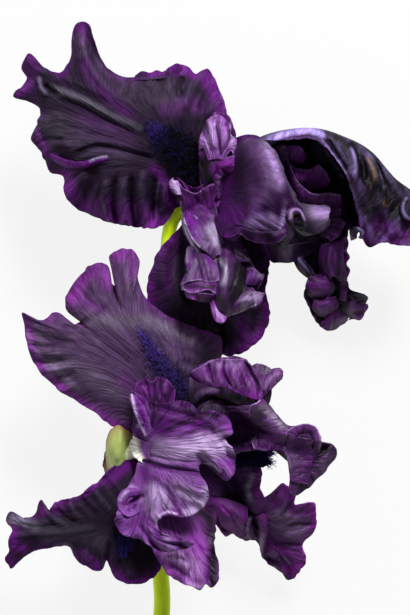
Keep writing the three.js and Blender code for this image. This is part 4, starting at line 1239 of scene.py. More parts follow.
petal("lowerStandardLowPiece", "lower_standard_low", pinkFinish, {
    "around": 180, "along": 60, "ruffle": (0.6, 6), "seed": 14, "drawn": """
72,80,48 74,77,47
73,72,50 78,68,52 84,68,52 88,73,49
73.5,58,53 78,48,58 86,46,59 94,50,57 98,60,53 95,69,49
74.5,46,55 79,36,57 86,29,58 96,27,58 102,33,55 104,46,52 103,58,50 98,67.5,48
75,40,56 77,33,57 80,28,55 84,22,58 90,18,55 96,16,58 100,14,55 103,17,57 106,15,54 109,18,55 109,27,52 \
107,36,54 108,46,49 106.5,56,50 99,67,47.5
1.8 6 164,552 178,556 190,566
-1.8 5 170,562 182,568 192,580
1 6 196,548 200,562 198,580
-1.6 5 208,552 210,568 208,582
-1.2 4 186,548 190,562 188,578
pale 0.4 14 172,552 190,562
glow 0.9 5 158,556 170,562 182,556
glow 0.7 5 172,570 180,560
dark 1 11 214,540 213,560 213,580
dark 0.95 15 192,506 206,514 212,532
pale 0.6 6 190,582 204,584
glow 0.6 7 186,524 194,534 202,546
pale 0.25 12 182,552 192,564 196,574
"""})

upperStyleFront = petal("upperStyleFrontPiece", "upper_style_front", darkStyleFinish, {
    "around": 150, "along": 50, "ruffle": (0.6, 4), "seed": 15, "drawn": """
99,206,48.5 99.5,204,48.5
101,211,55 104,216,60 109,215,60 110,209,57
100.5,214,56 102,226,61 108,232,66 114,226,65 116,216,61 112,209.5,57
100,216,56 99.5,226,60 99.5,236,64 103,243,61 107,249,66 112,249.5,62 115.5,245,67 117.5,238,64 117.5,230,68 \
115.5,227,65 118,222,67 117.5,218,63 113,210,57
1.5 4 206,160 212,145 216,124
-1.6 3 212,162 218,146 222,126
1.5 4 220,158 226,145 228,130
-1.6 3 202,152 206,138 210,126
-0.8 4 208,162 222,160 236,156
1.6 5 216,170 228,166 238,162
dark 0.3 6 205,158 222,162 236,158
glow 0.9 8 214,172 226,168 236,164
dark 1 12 203,166 206,176 210,182
"""})

upperStyleLow = petal("upperStyleLowPiece", "upper_style_low", darkStyleFinish, {
    "around": 130, "along": 40, "ruffle": (0.6, 4), "seed": 16, "drawn": """
99,205,51 102,203,51
94,204,52 95,208,55 100,208.5,57 104.5,206,56 104.5,202,54
89,205,52 86,210,53 85,215,57 86,219,54 90,217,58 94,214,55 98,213,60 102,215,57 106,214,60 109,210,56 \
109.5,204,58 107,199,54
1.8 4 176,186 182,194 194,202
-1.6 3 184,180 190,192 200,200
1.6 4 196,182 200,194 206,204
-1.5 3 206,178 208,192 212,202
pale 0.7 4 172,182 176,190 182,194
dark 0.6 8 196,190 208,196
glow 0.7 7 188,190 200,200
"""})

petal("upperStyleRightPiece", "upper_style_right", styleFinish, {
    "around": 110, "along": 40, "ruffle": (0.6, 4), "seed": 17, "drawn": """
99,206,46.5 99,203.5,46.5
112,209.5,47 116,206,49 112,202,46
118,214,46 122,217.5,49 127,218,51 125,213,49 130,209,52 125,204,48 127,199,51 121,197.5,48 118,199,45
dark 0.5 8 240,190 250,200
"""})

petal("lowerStyleTopPiece", "lower_style_top", darkStyleFinish, {
    "around": 120, "along": 40, "ruffle": (0.5, 4), "seed": 18, "drawn": """
72,86,52 75,84,52
71,94,54 74,99,56 80,99,57 83,94,54
70,97,55.5 68,107,57 68,115,61 72,119,58 76,117.5,62 80,119.5,58 84,118,61 87.5,114,57 87,106,58 85,97,53
1.5 5 145,384 148,396 150,404
-1.4 4 154,380 156,394 156,404
1.4 4 164,382 166,394
glow 0.5 8 145,388 160,390
pale 0.3 4 158,382 160,396
dark 0.4 4 154,382 156,398
"""})

lowerStyleRight = petal("lowerStyleRightPiece", "lower_style_right", styleFinish, {
    "around": 120, "along": 40, "ruffle": (0.5, 4), "seed": 19, "drawn": """
76,84,50 77,82,50
85,91,52 90,91,54 94,88,53 95,84,51
92,97,54 97,102,57 101,106,56 106,108,59 111,107,56 113.5,103,58 113,98,55 114,92,56 111,86,52
1.5 4 196,412 208,404 222,406
pale 0.5 3 196,410 206,402 218,402
ash 0.5 5 206,408 220,410
"""})

petal("lowerStyleLeftPiece", "lower_style_left", styleFinish, {
    "around": 110, "along": 40, "ruffle": (0.5, 4), "seed": 20, "drawn": """
72,80.5,49 74,79,49
68,72,52 71,66,56 76,66,55 79,70,51
65,66,53 63,62,55 63.5,57,59 67,55.5,56 70,52,60 75,51,56 79,53,59 83,57,54 84,65,51
glow 0.4 8 130,500 150,510
"""})

petal("upperSpathePiece", "upper_spathe", spatheFinish, {
    "around": 70, "along": 40, "ruffle": (0.2, 6), "seed": 21, "drawn": """
90.5,149,32 85.5,149,38 80.5,149,32
91,156,33 85,157,39 79,156,33
91,162,34 88.5,169,37.5 84,172,40.4 79.5,169,37.5 78,162,34
91,165,35 89,173,37.5 84,181,40.8 79,173,37.5 77.8,165,35
"""})

petal("lowerSpathePiece", "lower_spathe", spatheFinish, {
    "around": 90, "along": 50, "ruffle": (0.2, 6), "seed": 22, "drawn": """
64,65,33 59.5,65,39 55,66,33
65.5,71,37 59.5,72,45 54,72,37
67,78,41 64,84,48 59.5,86,51 55.5,83,48 53,79,41
67,83,43 66.5,89,47 63.5,93,49 59.5,95.5,50 56,93,48 53.5,88,45 53,83,42
0.8 5 122,428 120,445 116,462
-0.8 4 128,440 126,455
"""})

petal("lowerPaperBractPiece", "lower_paper_bract", paperFinish, {
    "around": 60, "along": 30, "ruffle": (0.5, 3), "seed": 23, "drawn": """
55,64,31 53,66,29
54,71,34 51.8,72,32.5
54.5,75,36.5 54,80,38 52.6,82,38 51.8,78,36.5 51,74,34
"""})


# Smaller folds and lobes that stand on the petals: contours drawn from above in half millimetres, each
# point with its lift over the petals below in millimetres

foldDefaults = {
    "around": 60, "along": 24, "ruffle": (0.4, 3), "crumple": (0.35, 3),
    "thickness": 0.4, "notches": 0.25, "seed": 31,
}
# Which points of the petals below carry a point of a fold
seat = {"reach": 0.0025, "slack": 1.2, "percentile": 85}


def fold(name, hosts, material, foldShape):
    tops = np.vstack([host["grid"] for host in hosts])
    seated = []
    for contour in drawnParts(foldShape["drawn"])["contours"]:
        line = []
        for x, y, lift in contour:
            spot = fromDrawing([(x, y)])[0]
            gap = np.hypot(*(tops[:, :2] - spot).T)
            close = gap < max(seat["reach"], gap.min() * seat["slack"])
            line.append([*spot, np.percentile(tops[close, 2], seat["percentile"]) + lift / 1000])
        seated.append(line)
    return petal(name, None, material, {**foldDefaults, **foldShape, "placed": seated})


hood = [upperStandardRight]
fold("hoodBand", hood, trumpetFinish, {
    "around": 90, "along": 26, "ruffle": (0.4, 5), "drawn": """
276,147,1 282,166,1 291,187,1 299,204,1 320,207,1 342,207,1
281,146,9.1 286,164,7.8 293,182,7.8 302,196,7.8 316,201,7.8 342,201,6.5
286,146,10.4 288,160,11.7 295,177,11.7 304,188,11.7 314,194,11.7 328,193,11.7 341,194,9.1
glow 0.55 8 282,148 288,175 302,194 318,200 340,199
pale 0.2 3 290,170 303,188 314,193 328,192 340,194
ash 0.4 4 280,150 286,160
"""})
fold("hoodInnerLobe", hood, pinkFinish, {
    "around": 60, "along": 26, "ruffle": (0.6, 4), "drawn": """
289,187,0.5 302,189,0.5 320,189,0.5
290,177,6.5 302,179,7.8 316,178,7.8 328,185,3.9
289,162,7.8 298,168,10.4 311,169,9.1 318,165,13 324,170,10.4 331,180,5.2
glow 0.6 7 291,170 302,174 314,171 324,178
pale 0.12 3 296,168 310,170 318,167
"""})
fold("hoodInnerSpot", hood, pinkFinish, {
    "around": 40, "along": 20, "ruffle": (0.4, 4), "drawn": """
286,163,0.5 298,165,0.5
286,155,6.5 296,157,9.1 305,161,5.2
285,147,5.2 293,146,9.1 301,148,9.1 306,155,5.2
glow 0.5 6 296,152 301,157
"""})
fold("satinPatch", [upperStandardFront, upperStandardRight], domeFinish, {
    "around": 50, "along": 26, "ruffle": (0.2, 5), "crumple": (0.1, 5), "drawn": """
295,204,1 299,217,1 303,233,1
309,207,3 311,218,4 312,235,3
329,204,5 327,217,5 321,233,4
ash 0.95 26 304,214 324,216
pale 0.6 12 314,214 324,214
dark 0.55 14 299,208 305,230
"""})
fold("domeEdge", hood, trumpetFinish, {
    "around": 60, "along": 24, "ruffle": (0.9, 3), "drawn": """
328,208,0.5 327,220,0.5 321,236,0.5
334,207,2 335,222,2 328,238,2
340,205,3 343,210,5 341,216,3 346,222,5 343,229,3 339,236,5 332,241,2
glow 0.8 4 341,205 344,218 342,232 334,240
dark 0.6 5 331,210 331,224 326,236
"""})
fold("domeHem", [upperStandardFront], domeFinish, {
    "around": 100, "along": 14, "ruffle": (0.2, 4), "crumple": (0.1, 5), "drawn": """
224,231,0.2 238,229,0.2 252,233,0.2 266,234,0.2 278,232,0.2 283,225,0.2
223.5,240,0.5 231,239,0.7 238.5,235.5,1 246,241,0.8 256,244.5,1.1 266,244.5,0.8 277,243.5,1 284,237,0.8 \
287,230,0.4
pale 0.4 1 231,239 238.5,235.5 246,241 256,244.5 266,244.5 277,243.5 284,237
glow 0.8 7 226,238 238,232
dark 0.4 4 240,234 256,238 270,238
pale 0.2 4 272,236 281,233
"""})
# A lobe under the dome's hem, darkened all over: partly its own dark purple, partly painted shade under the
# hem
fold("domeUnderLobe", hood, domeFinish, {
    "around": 90, "along": 24, "ruffle": (0.3, 4), "crumple": (0.15, 4), "drawn": """
268,243,0.3 280,244,0.4 294,243,0.4 312,241,0.4 322,240,0.3
268,252,0.6 278,254,0.8 292,253,0.8 308,248,0.8 322,244,0.4
269,259,0.4 274,262.5,0.6 282,262,0.8 290,262.5,0.6 298,259.5,0.8 306,257,0.6 313,252,0.6 322,247,0.4
dark 0.85 30 268,250 290,252 320,243
glow 0.5 1.4 272,248 274,261
glow 0.5 1.4 279,250 282,261
glow 0.5 1.4 289,248 291,260
glow 0.5 1.4 299,249 303,257
"""})
# The curl: a painted highlight along its rim and painted shade inside it
fold("domeCurl", [upperStandardFront], domeFinish, {
    "around": 60, "along": 16, "ruffle": (0.3, 2), "drawn": """
286,226,0 284,216,1 289,209,1 298,209,1 305,219,1 304,229,0
288,225,2.62 288,218,3.38 291,213,3.38 297,213,3.38 301,220,3 302,227,2.25
292,225,1.12 291,220,1.12 293,217,1.12 296,217,1.12 299,222,1.12 300,226,1
pale 0.6 2 287,221 290,213 297,213 302,222
dry 0.7 1.6 289,217 289,221
ash 0.4 3 290,214 297,214
dark 0.9 2.5 293,222 297,220
"""})
fold("hoodEndCurl", hood, hoodFinish, {
    "around": 40, "along": 16, "ruffle": (0.2, 3), "drawn": """
409,224,1 400,219,1 398,207,1 404,196,1
409,221,4.2 402,216,4.9 401,206,4.9 406,198,4.2
409,217,1.4 405,213,1.4 404,206,1.4 408,200,1.4
ash 0.7 3 404,218 401,208 404,199
"""})
fold("hoodTube", hood, hoodFinish, {
    "around": 44, "along": 12, "ruffle": (0.1, 3), "drawn": """
352,240,0 350,232,0 356,228,0 362,231,0 361,240,0
353,240,3 352,233,3.5 356,230,3.5 360,233,3.5 359,240,3
355,239,1 355,235,1 357,233,1 358,235,1 357,239,1
ash 0.8 2.5 353,238 353,232 357,230 361,234
"""})
# The hanging frill: a crinkled sheet with button-like lobes
fold("frillSheet", hood, frillFinish, {
    "around": 60, "along": 40, "ruffle": (0.8, 3), "drawn": """
322,244,1 334,240,1 344,240,1
320,260,2 333,258,4 345,260,3
322,276,1.5 328,280,3 335,276,4 342,280,3 349,276,2
1.2 4 332,244 330,260 334,276
-1.2 4 338,246 340,262 340,276
glow 0.35 10 334,250 332,270
"""})
fold("frillEdge", hood, frillFinish, {
    "around": 130, "along": 14, "ruffle": (1.0, 2), "drawn": """
342,238,1 343,254,1 342,270,1 343,286,1 342,300,1
347,236,4 349,243,2 347,250,5 350,257,2 347,264,5 351,270,2 348,278,5 351,286,2 348,294,5 350,302,2
glow 0.75 4 348,238 349,260 349,280 349,300
"""})
fold("frillLobeTop", hood, frillFinish, {
    "around": 70, "along": 24, "ruffle": (0.5, 3), "drawn": """
334,296,1 337,286,1 334,277,1
326,298,5 322,287,7 326,277,5
330,299,3 318,300,2 309,293,2 307,284,2 312,276,3 322,274,2 330,275,2
glow 0.8 14 314,288 328,286
pale 0.2 5 312,290 322,294
dark 0.8 4 308,288 313,296 324,300
pale 0.5 1.2 307,284 312,276 322,274 330,275
dark 0.5 6 332,278 336,294
"""})
fold("frillLobeMiddle", hood, frillFinish, {
    "around": 60, "along": 24, "ruffle": (0.5, 3), "drawn": """
340,312,1 342,304,1 338,296,1
330,315,5 326,306,7 330,297,5
332,318,3 322,316,2 315,309,2 316,300,3 324,297,3 332,295,3
glow 0.8 11 320,307 332,305
pale 0.2 4 320,309 328,312
dark 0.8 3 316,308 321,315 332,318
pale 0.5 1.2 315,304 317,299 324,297 332,295
dark 0.7 4 322,297 334,296
"""})
fold("frillLobeLow", hood, frillFinish, {
    "around": 60, "along": 24, "ruffle": (0.6, 3), "drawn": """
330,312,1 340,308,1 350,310,1
327,320,4 338,318,6 350,316,4
323,322,2 325,328,2 331,331,3 338,330,2 343,327,3 350,322,2 353,316,2
glow 0.6 4 326,328 338,331 348,325
glow 0.6 9 332,322 344,319
dark 0.7 3 328,314 340,311
dark 0.6 2.5 338,316 338,330
"""})
fold("frillLobeRight", hood, frillFinish, {
    "around": 60, "along": 24, "ruffle": (0.5, 3), "drawn": """
347,300,1 344,310,1 347,318,1
355,299,5 355,309,6 354,318,4
352,296,3 362,301,2 371,305,3 368,313,2 364,320,2 357,319,3 351,321,2
pale 0.4 1.4 352,297 362,301 371,305
glow 0.7 4 371,305 366,316 358,320
glow 0.6 8 356,308 366,308
dark 0.8 4 350,300 350,316
pale 0.25 3 370,306 364,318
"""})
fold("hoodFinger", hood, hoodFinish, {
    "around": 40, "along": 30, "ruffle": (0.1, 4), "drawn": """
292,256,0 298,254,0 304,256,0
300,270,1 304,266,4 310,266,1
311,279,0.5 314,277,2.5 319,277,0.5
ash 0.9 3 300,258 308,268 316,277
pale 0.25 2 306,262 315,274
"""})

# Folds in the middle of the upper bloom
cluster = [upperStandardLow]
fold("clusterVeil", [upperStandardLow, upperStyleLow], clusterFinish, {
    "around": 110, "along": 40, "ruffle": (0.25, 5), "turned": True, "drawn": """
214,203,1 217,212,1 218,222,1.4 222,234,1.8 231,243,1.8 224,257,1
198,203,1.8 203,216,2.2 206,228,2.6 211,240,2.6 216,248,2.2 218,256,1.6
180,202,2.5 182,213,3.5 186,227,4 191,238,4 199,248,3 208,255,2 214,260,1
glow 1 13 188,206 190,222 196,236
glow 0.6 8 204,206 208,216
pale 0.45 9 212,228 216,242
pale 0.12 8 198,232 204,244
pale 0.8 1.6 180,203 182.5,214 186.5,228 191.5,238 200,248
ash 0.7 2 180,205 184,222 190,236
dark 0.7 2 194,241 204,251 215,258
dark 0.5 3 202,204 212,212
dark 0.25 1.5 196,216 206,236 214,250
dark 0.25 1.5 206,214 212,232 219,246
"""})
fold("clusterSheet", cluster, clusterFinish, {
    "around": 80, "along": 40, "ruffle": (0.3, 4), "drawn": """
194,254,1 200,254,1.5 208,256,1
191,268,1 203,266,3 218,268,1
181,286,2 190,282,4 200,281,3 210,283,4 219,281,2
-1 3 198,258 200,270 202,282
0.8 3 204,258 208,270 211,282
glow 0.5 6 208,262 214,276
pale 0.3 5 196,262 190,278
dark 0.5 2 198,258 201,270 203,281
dark 0.4 1.8 202,258 208,270 212,280
pale 0.35 1.4 182,286 190,282 200,281 210,283 218,281
"""})
fold("clusterPocket", cluster, clusterFinish, {
    "around": 40, "along": 26, "ruffle": (0.2, 3), "drawn": """
188,272,0.5 191,274,0.5 194,272,0.5
186,260,1.5 190,262,2.5 195,260,1
187,249,1 190,247,2 194,251,1
pale 0.45 3 188,250 188,262
glow 0.5 5 191,256 191,270
dark 0.8 3 195,252 194,272
"""})
fold("clusterMouth", cluster, trumpetFinish, {
    "around": 70, "along": 20, "ruffle": (0.4, 3), "drawn": """
184,284,2 198,282,2 217,283,1
184,289,0.3 198,288,0.3 216,289,0.3
183,289,3 190,293,3.5 200,292,4 207,290,4 216,294,3
pale 0.4 1.2 183,289 190,293 200,292 207,290 216,294
glow 0.9 5 186,286 200,286 214,287
dark 0.8 4 188,287 200,287 214,288
"""})
fold("clusterLip", cluster, trumpetFinish, {
    "around": 60, "along": 16, "ruffle": (0.5, 3), "drawn": """
184,290,2.5 198,293,3.5 216,295,2.5
187,298,1.5 194,300,2.5 204,302,1.5 212,300,1
glow 0.5 6 188,296 200,298 212,298
dark 0.5 2.5 196,292 199,300
"""})
# The snout: grey and pale strokes along its ridge are a painted highlight, the dark strokes to its right
# painted shade
fold("clusterSnout", cluster, clusterFinish, {
    "around": 90, "along": 60, "ruffle": (0.3, 4), "crumple": (0.5, 5), "drawn": """
221,249,1 229,239,1 240,239,1
219,262,1 226,256,5.5 243,260,0.5
220,276,1 227,272,6.5 247,280,0.2
216,291,1 223,288,5.5 242,296,0.5
215,304,2 219,310,3 226,313,3 236,310,2
-1.6 4 236,262 234,276 228,296
1.2 4 226,256 224,272 219,292
ash 0.9 5 221,262 225,272 223,284
pale 0.5 3 222,264 225.5,272 224,282
dark 0.4 5 219,288 218,300
dark 1 15 238,268 237,282 232,298
dark 1 10 243,274 241,290
dark 0.9 9 219,300 223,307 230,309
glow 0.5 6 230,246 238,250
dark 0.6 2.5 228,258 234,254 242,258
"""})
fold("clusterFlap", cluster, clusterFinish, {
    "around": 80, "along": 26, "ruffle": (0.35, 4), "drawn": """
236,297,3 248,292,4 264,293,3
230,305,3.5 246,300,4.5 261,299,2.5
222,312,3 232,314.5,4 244,310,3.5 254,306,2.5 260,302,1.5
-1.2 3 250,294 252,308
pale 0.35 8 256,297 244,302
dark 0.85 9 230,303 226,309
glow 0.6 6 238,306 248,304
pale 0.6 1.6 223,312 232,314 244,309.5 254,305
ash 0.6 1.8 238,296.5 248,292.5 263,293
"""})
fold("clusterTongue", cluster, clusterFinish, {
    "around": 50, "along": 26, "ruffle": (0.3, 3), "drawn": """
226,254,2 231,248,2 238,244,2
232,260,3 237,254,4 243,251,2
234,266,2 241,263,3.5 249,262,2.5 246,256,2 243,249,2
pale 0.2 5 234,252 240,256
ash 0.5 3 246,260 249,262
dark 0.7 2 230,258 236,256 242,258
glow 0.5 4 242,252 246,258
"""})
fold("clusterSmallLobe", cluster, clusterFinish, {
    "around": 44, "along": 22, "ruffle": (0.3, 3), "drawn": """
244,284,0.5 250,286,0.5 256,284,0.5
246,277,2 253,278,3 260,280,1.5
246,271,1.5 254,270,3 260,275,2.5 263,275,2 261,282,1
glow 0.6 6 250,274 254,280
ash 0.8 3 258,276 262,277
"""})
fold("clusterBulb", cluster, pinkFinish, {
    "around": 40, "along": 24, "ruffle": (0.1, 4), "drawn": """
210,303,1 213,301,1.5 216,304,1
212,312,1.5 217,311,3 222,313,1.5
213,317,1 217,322,1.5 224,321.5,1.5 227,316,1
pale 0.45 6 216,310 221,317
"""})

# The crest of the front style arm and the folded bits below it
crest = [upperStyleFront]
fold("crestFan", crest, styleFinish, {
    "around": 130, "along": 40, "ruffle": (0.6, 3), "drawn": """
208,163,0.6 215,162,0.8 224,162,0.6
203,151,1.2 212,144,2.2 222,145,1.8 231,154,1.2
199,154,1 200,141,2.4 204,131,1 208,123,2.6 214,119,1 221,120,2.6 226,124,1 231,131,2.6 230,138,1 \
236,144,2.4 235,152,1 233,159,1.4
-1.6 3 218,156 219,142 216,124
-1.4 3 222,156 228,144 226,126
-1.2 3 212,156 208,146 203,134
1 3 214,154 212,138 210,124
pale 0.3 9 208,146 212,130
pale 0.3 6 230,134 232,148
dark 0.9 2.6 221,157 219,145 216,130
dark 0.7 2 222,156 227,148 229,134
glow 0.5 4 220,152 222,140 220,128
dark 0.5 1.6 202,144 212,149 220,156
dark 0.4 1.4 213,152 209,140 207,128
dark 0.35 1.4 224,156 232,150 234,144
"""})
fold("crestLobe", crest, darkStyleFinish, {
    "around": 60, "along": 24, "ruffle": (0.3, 3), "drawn": """
216,166,0.5 218,171,0.5 222,174,0.5
224,162,3 227,168,4 230,172,2
218,163,2 228,160,3 236,159,3 240,163,2 238,169,2 232,174,2 225,175,1
glow 0.8 8 222,168 234,166
pale 0.5 1.6 218,163 228,160 237,160 239,167
"""})
bits = [upperStyleLow, upperStyleFront]
fold("styleCurl", bits, darkStyleFinish, {
    "around": 60, "along": 16, "ruffle": (0.4, 2), "drawn": """
221,200,1 222,190,1 221,182,1 227,176,1
217,200,2.4 217,191,2.4 217,183,2.4 223,175,2.4
214,200,1.2 213,193,1.2 215,186,1.8 213,181,1.2 220,172,1.8
ash 0.8 3 218,198 217,186 222,177
pale 0.3 2 216,190 220,178
"""})
fold("stylePaleLobe", bits, styleFinish, {
    "around": 40, "along": 20, "ruffle": (0.2, 3), "drawn": """
184,196,1 182,188,1 178,182,1
178,196,3 176,188,4 174,182,3
174,195,1 170,190,2 170,183,2 174,179,2
pale 0.7 6 174,184 178,193
"""})
fold("styleThroat", bits, darkStyleFinish, {
    "around": 70, "along": 30, "ruffle": (0.5, 3), "drawn": """
184,212,1 200,216,1 216,214,1
184,202,3 198,203,4 214,202,3
176,184,3 185,191,4 196,195,3 206,189,5 214,186,4 218,196,3
-1.2 3 196,196 200,206 202,214
1.2 3 206,190 209,202 210,212
glow 0.6 8 190,202 206,206
pale 0.6 1.4 176,184 186,191 196,195 206,189 213,186
dark 0.5 4 198,200 202,210
"""})
# The folded lip over the fall's slit, with a painted shadow under it and a painted highlight at the slit's end
fold("fallLip", [upperFallFront], fallFinish, {
    "around": 90, "along": 16, "ruffle": (0.3, 4), "drawn": """
56,163,0.3 70,170,0.3 85,171,0.3 98,167,0.3 109,161,0.3
54,159,2.5 70,167,3 85,168,3 97,164,2.5 108,159.5,0.8
52,155,3 62,160,4 72,163.5,4.5 84,164.5,4.5 94,162,3.5 101,160,2.5 107,158.5,1
glow 1 7 54,158 66,165 80,168 94,165 107,160
dark 0.5 3 66,170 85,171 100,167
pale 1 2.6 93,163.5 100,160.5 108,159
"""})
fold("fallTopRuffle", [upperFallFront], fallFinish, {
    "around": 90, "along": 14, "ruffle": (0.8, 3), "drawn": """
134,82,-1 150,82,-1 166,80,-1 182,79,-1
136,77,0 143,73,2 150,75,0 157,72,2 163,74,0 170,69,2 178,66,2 183,70,0
glow 0.8 6 150,76 160,73 176,68
dark 0.6 6 136,78 146,76
"""})


trumpet = [lowerStandardRight]
# The trumpet's rim: a thin painted highlight along its edge and painted shade just inside it
fold("trumpetRim", trumpet, trumpetFinish, {
    "around": 90, "along": 18, "ruffle": (0.3, 4), "drawn": """
281,441,0.6 283,431,1.6 292,424,1.8 305,421,1.8 314,425,1.8 318.5,436,1.6 317.5,448,1.2 310,459,0.6
284,442,0.6 287,433,1.3 295,427,1.4 305,424.5,1.4 311.5,428.5,1.4 315.5,437,1.3 314.5,447,1 309,457,0.5
290,444,0.3 292,437,0.3 298,431,0.3 305,429,0.3 309,432,0.3 312,438,0.3 311,446,0.3 308,454,0.3
pale 0.7 1.4 283,431 292,424 305,421 314,425 318,436 317,448
dark 0.8 5 294,440 300,431 308,432 311,442
"""})
fold("crestPocket", trumpet, trumpetFinish, {
    "around": 40, "along": 12, "ruffle": (0.3, 3), "drawn": """
253,372,-1 260,374,-1 268,372,-1
251,364,-1 256,362,0 263,364,1 269,367,0 271,371,-1
ash 0.4 10 256,367 266,369
dark 0.3 10 256,367 266,369
"""})
# The crest's lap: the glow along its hem is partly its own magenta, partly painted light through the thin hem
fold("crestLap", trumpet, trumpetFinish, {
    "around": 150, "along": 44, "ruffle": (0.9, 2.5), "drawn": """
190,371,0.8 201,365,1.2 209,360.5,1.2 217,357.5,1.4 226,358,1 236,357.5,1.4 244,358.5,1 250,363,1.2 \
256,370,1 264,373,1.4 274,368.5,1.4 281,369,0.8
192,372.5,1.6 202,370,2.2 211,368,2 220,367,2.4 229,367,2 238,369,2.4 246,371,1.6 253,376,1.6 260,380,2 \
268,379,2.4 275,374,2.2 281,372,1.4
193,374,1.8 201,377,2.4 209,380,2.4 218,380,2.6 227,380,2.4 236,384,2.6 244,387,2 251,390,2 258,391,2.2 \
266,386,2.4 273,380,2.2 280,375,1.4
194,375,1.2 200,379.5,2 208,384,2 216,385,2.2 225,385,2 234,389,2.2 242,393,1.8 250,396,1.8 258,397.5,1.8 \
266,390,2 273,384,1.8 280,377,1
-1.2 2.5 208,361 210,372 214,384
1 3 203,366 205,374 208,382
1.2 4 217,359 217,370 222,384
-1.6 2.5 224,358 223,370 232,387
1 4 232,359 232,371 239,388
-1.8 3 244,359 250,371 256,382 257,394
1.4 4 238,359 243,372 250,390
1.2 4 270,372 266,380 262,390
glow 0.45 16 200,372 222,372 244,376
pale 0.2 8 264,382 275,374
pale 0.15 6 214,364 236,364
dark 0.25 1.8 208,361 210,372 214,384
dark 0.3 1.8 224,358 223,370 232,387
dark 0.85 2.6 244,359 250,371 256,382
glow 0.9 4 196,377 208,384 225,385 242,393 257,397 266,390
glow 0.8 8 250,392 260,394
pale 0.5 1.4 190,371 201,365 209,360.5 217,357.5 226,358 236,357.5 244,358.5 250,363
"""})
# The skirt below the crest: its broad pale stroke is painted light where the lap above shades it
fold("crestSkirt", trumpet, trumpetFinish, {
    "around": 60, "along": 24, "ruffle": (0.2, 4), "crumple": (0.15, 4), "drawn": """
190,376,0.8 198,380,1 208,384,1 220,387,1
189,386,1.4 196,388,2 205,388,2 219,390,1.2
189,402,1.2 196,401,1.6 203,396,1.6 210,392.5,1.4 220,392,0.8
pale 0.9 5 215,387 206,389 199,393 195,400
glow 1 4 220,391 211,392 205,395 201,400
ash 0.4 5 191,380 191,394
"""})
fold("crestBack", trumpet, trumpetFinish, {
    "around": 30, "along": 10, "ruffle": (0.2, 3), "drawn": """
261,396,-0.5 262,401,-0.5 262,406,-0.5
270.5,387,-0.5 269.5,395,-0.5 265.5,407,-0.5
dark 0.75 12 266,390 265,404
ash 0.6 2 265,393 263,403
"""})
# The trumpet's throat: its dark strokes are painted shade inside it
fold("trumpetThroat", trumpet, trumpetFinish, {
    "around": 60, "along": 34, "ruffle": (0.15, 5), "crumple": (0.12, 6), "drawn": """
283,443,1.2 286,452,1.2 288,464,1.2 288,478,1
295,435,1 297,450,1.2 298,464,1.4 297,480,1.2
308,436,0.6 310,448,1 310,462,1.2 306,482,1
dark 0.5 18 294,446 300,468
dark 0.7 7 288,436 299,431 310,437 313,448
glow 0.5 10 300,448 303,464
ash 0.25 3 284,446 288,464
dark 0.35 2 304,470 308,482
"""})
# The striped throat below the style: its glow is partly its own purple, partly painted light where it lies in
# shade; its pale lines are its light stripes
fold("waistThroat", trumpet, trumpetFinish, {
    "around": 50, "along": 30, "ruffle": (0.2, 5), "drawn": """
224,405,0.5 222,414,0.5 222,424,0.5 224,436,0.5 228,449,0.5
236,404,1.2 236,414,1.2 237,424,1.2 240,436,1.2 242,450,1
250,403,1.5 250,414,1.5 252,424,1.5 257,434,1.5 256,448,1.2
glow 1 12 228,410 246,414
pale 0.8 1.2 226,406 248,405
pale 0.8 1.2 226,409.5 249,409
ash 0.5 1.2 227,414 249,416
dark 0.35 14 228,438 250,440
"""})
# The waist: the grey stroke along its upper right is a painted highlight
fold("waistSheet", trumpet, trumpetFinish, {
    "around": 110, "along": 40, "ruffle": (0.2, 4), "crumple": (0.15, 5), "drawn": """
260,395,2 256,400,3 250,402.5,3.4 248,408,3 248.5,413,3.2 247.5,418,3 251,424,3.4 255,429,3 255.5,434,3.4 \
251.5,440,3.2 253,447,2.4
264,399,2 262,404,2.4 257,408,2.4 255,412,2.4 255,417,2.4 256,422,3.4 259,428,4 262,433,4.4 263,438,4.2 \
261,442,3.4 263,448.5,2
267,402,2 269,407,2.6 268,411,3 268,415,3 268.5,420,3.6 270,425,4.2 271.5,430,4.8 272,435,4.8 273,440,4 \
272,444,3 273,448,2
270,405,1 274,411,1.2 277,415,1.4 280,419,1.4 283,423.5,1.4 285,428,2 285.5,432,2.6 285,436,2.4 284,440,1.4 \
283,443,1.2 282,445.5,1
pale 0.8 1.5 260,395 256,400 250,402 248,408 248,413 247,418 251,424 255,429 255,434 251,440 253,447
ash 0.95 6 261,406 270,413 281,424
pale 0.3 4 262,407 270,413 280,423
dark 0.45 5 256,410 258,424
glow 0.6 8 262,438 276,434
dark 0.5 3 256,447 270,448 282,445
"""})
styleTip = [lowerStyleRight, lowerStandardRight]
# The style's tip: its broad pale stroke is painted light where it lies in shade; the thin one is its light rim
fold("styleTipRim", styleTip, styleFinish, {
    "around": 50, "along": 14, "ruffle": (0.2, 4), "drawn": """
202,415,0.5 212,412,0.5 224,414,0.5
201,409,3 206,404,4 212,402,4 220,404,4 225,409,3
pale 0.6 8 206,408 220,409
pale 0.8 2.5 201,409 206,404 212,402 220,404
"""})
crumpled = [lowerFallRight]
tongue = fold("beardTongue", crumpled, fallFinish, {
    "around": 40, "along": 24, "ruffle": (0.4, 3), "drawn": """
226,448,2 224,458,2 228,468,2
246,447,3 247,457,4 246,466,3
262,448,3 274,453,3 267,457.5,3 272,462,3 262,467,2
dark 0.6 30 226,458 268,458
"""})
fold("fallTube", crumpled, fallPurpleFinish, {
    "around": 60, "along": 20, "ruffle": (0.4, 4), "drawn": """
268,516,0.3 269,532,0.3 267,548,0.3 264,562,0.3
262,516,3.5 265,530,3.85 264,546,2.8 262,558,1.4
256,519,1.4 259,532,1.05 260,546,1 261,554,0.5
glow 0.5 3 264,518 267,532 266,544
ash 0.9 4 263,538 262,556
pale 0.3 3 263,538 262,556
dark 0.9 4 257,522 259,540
"""})
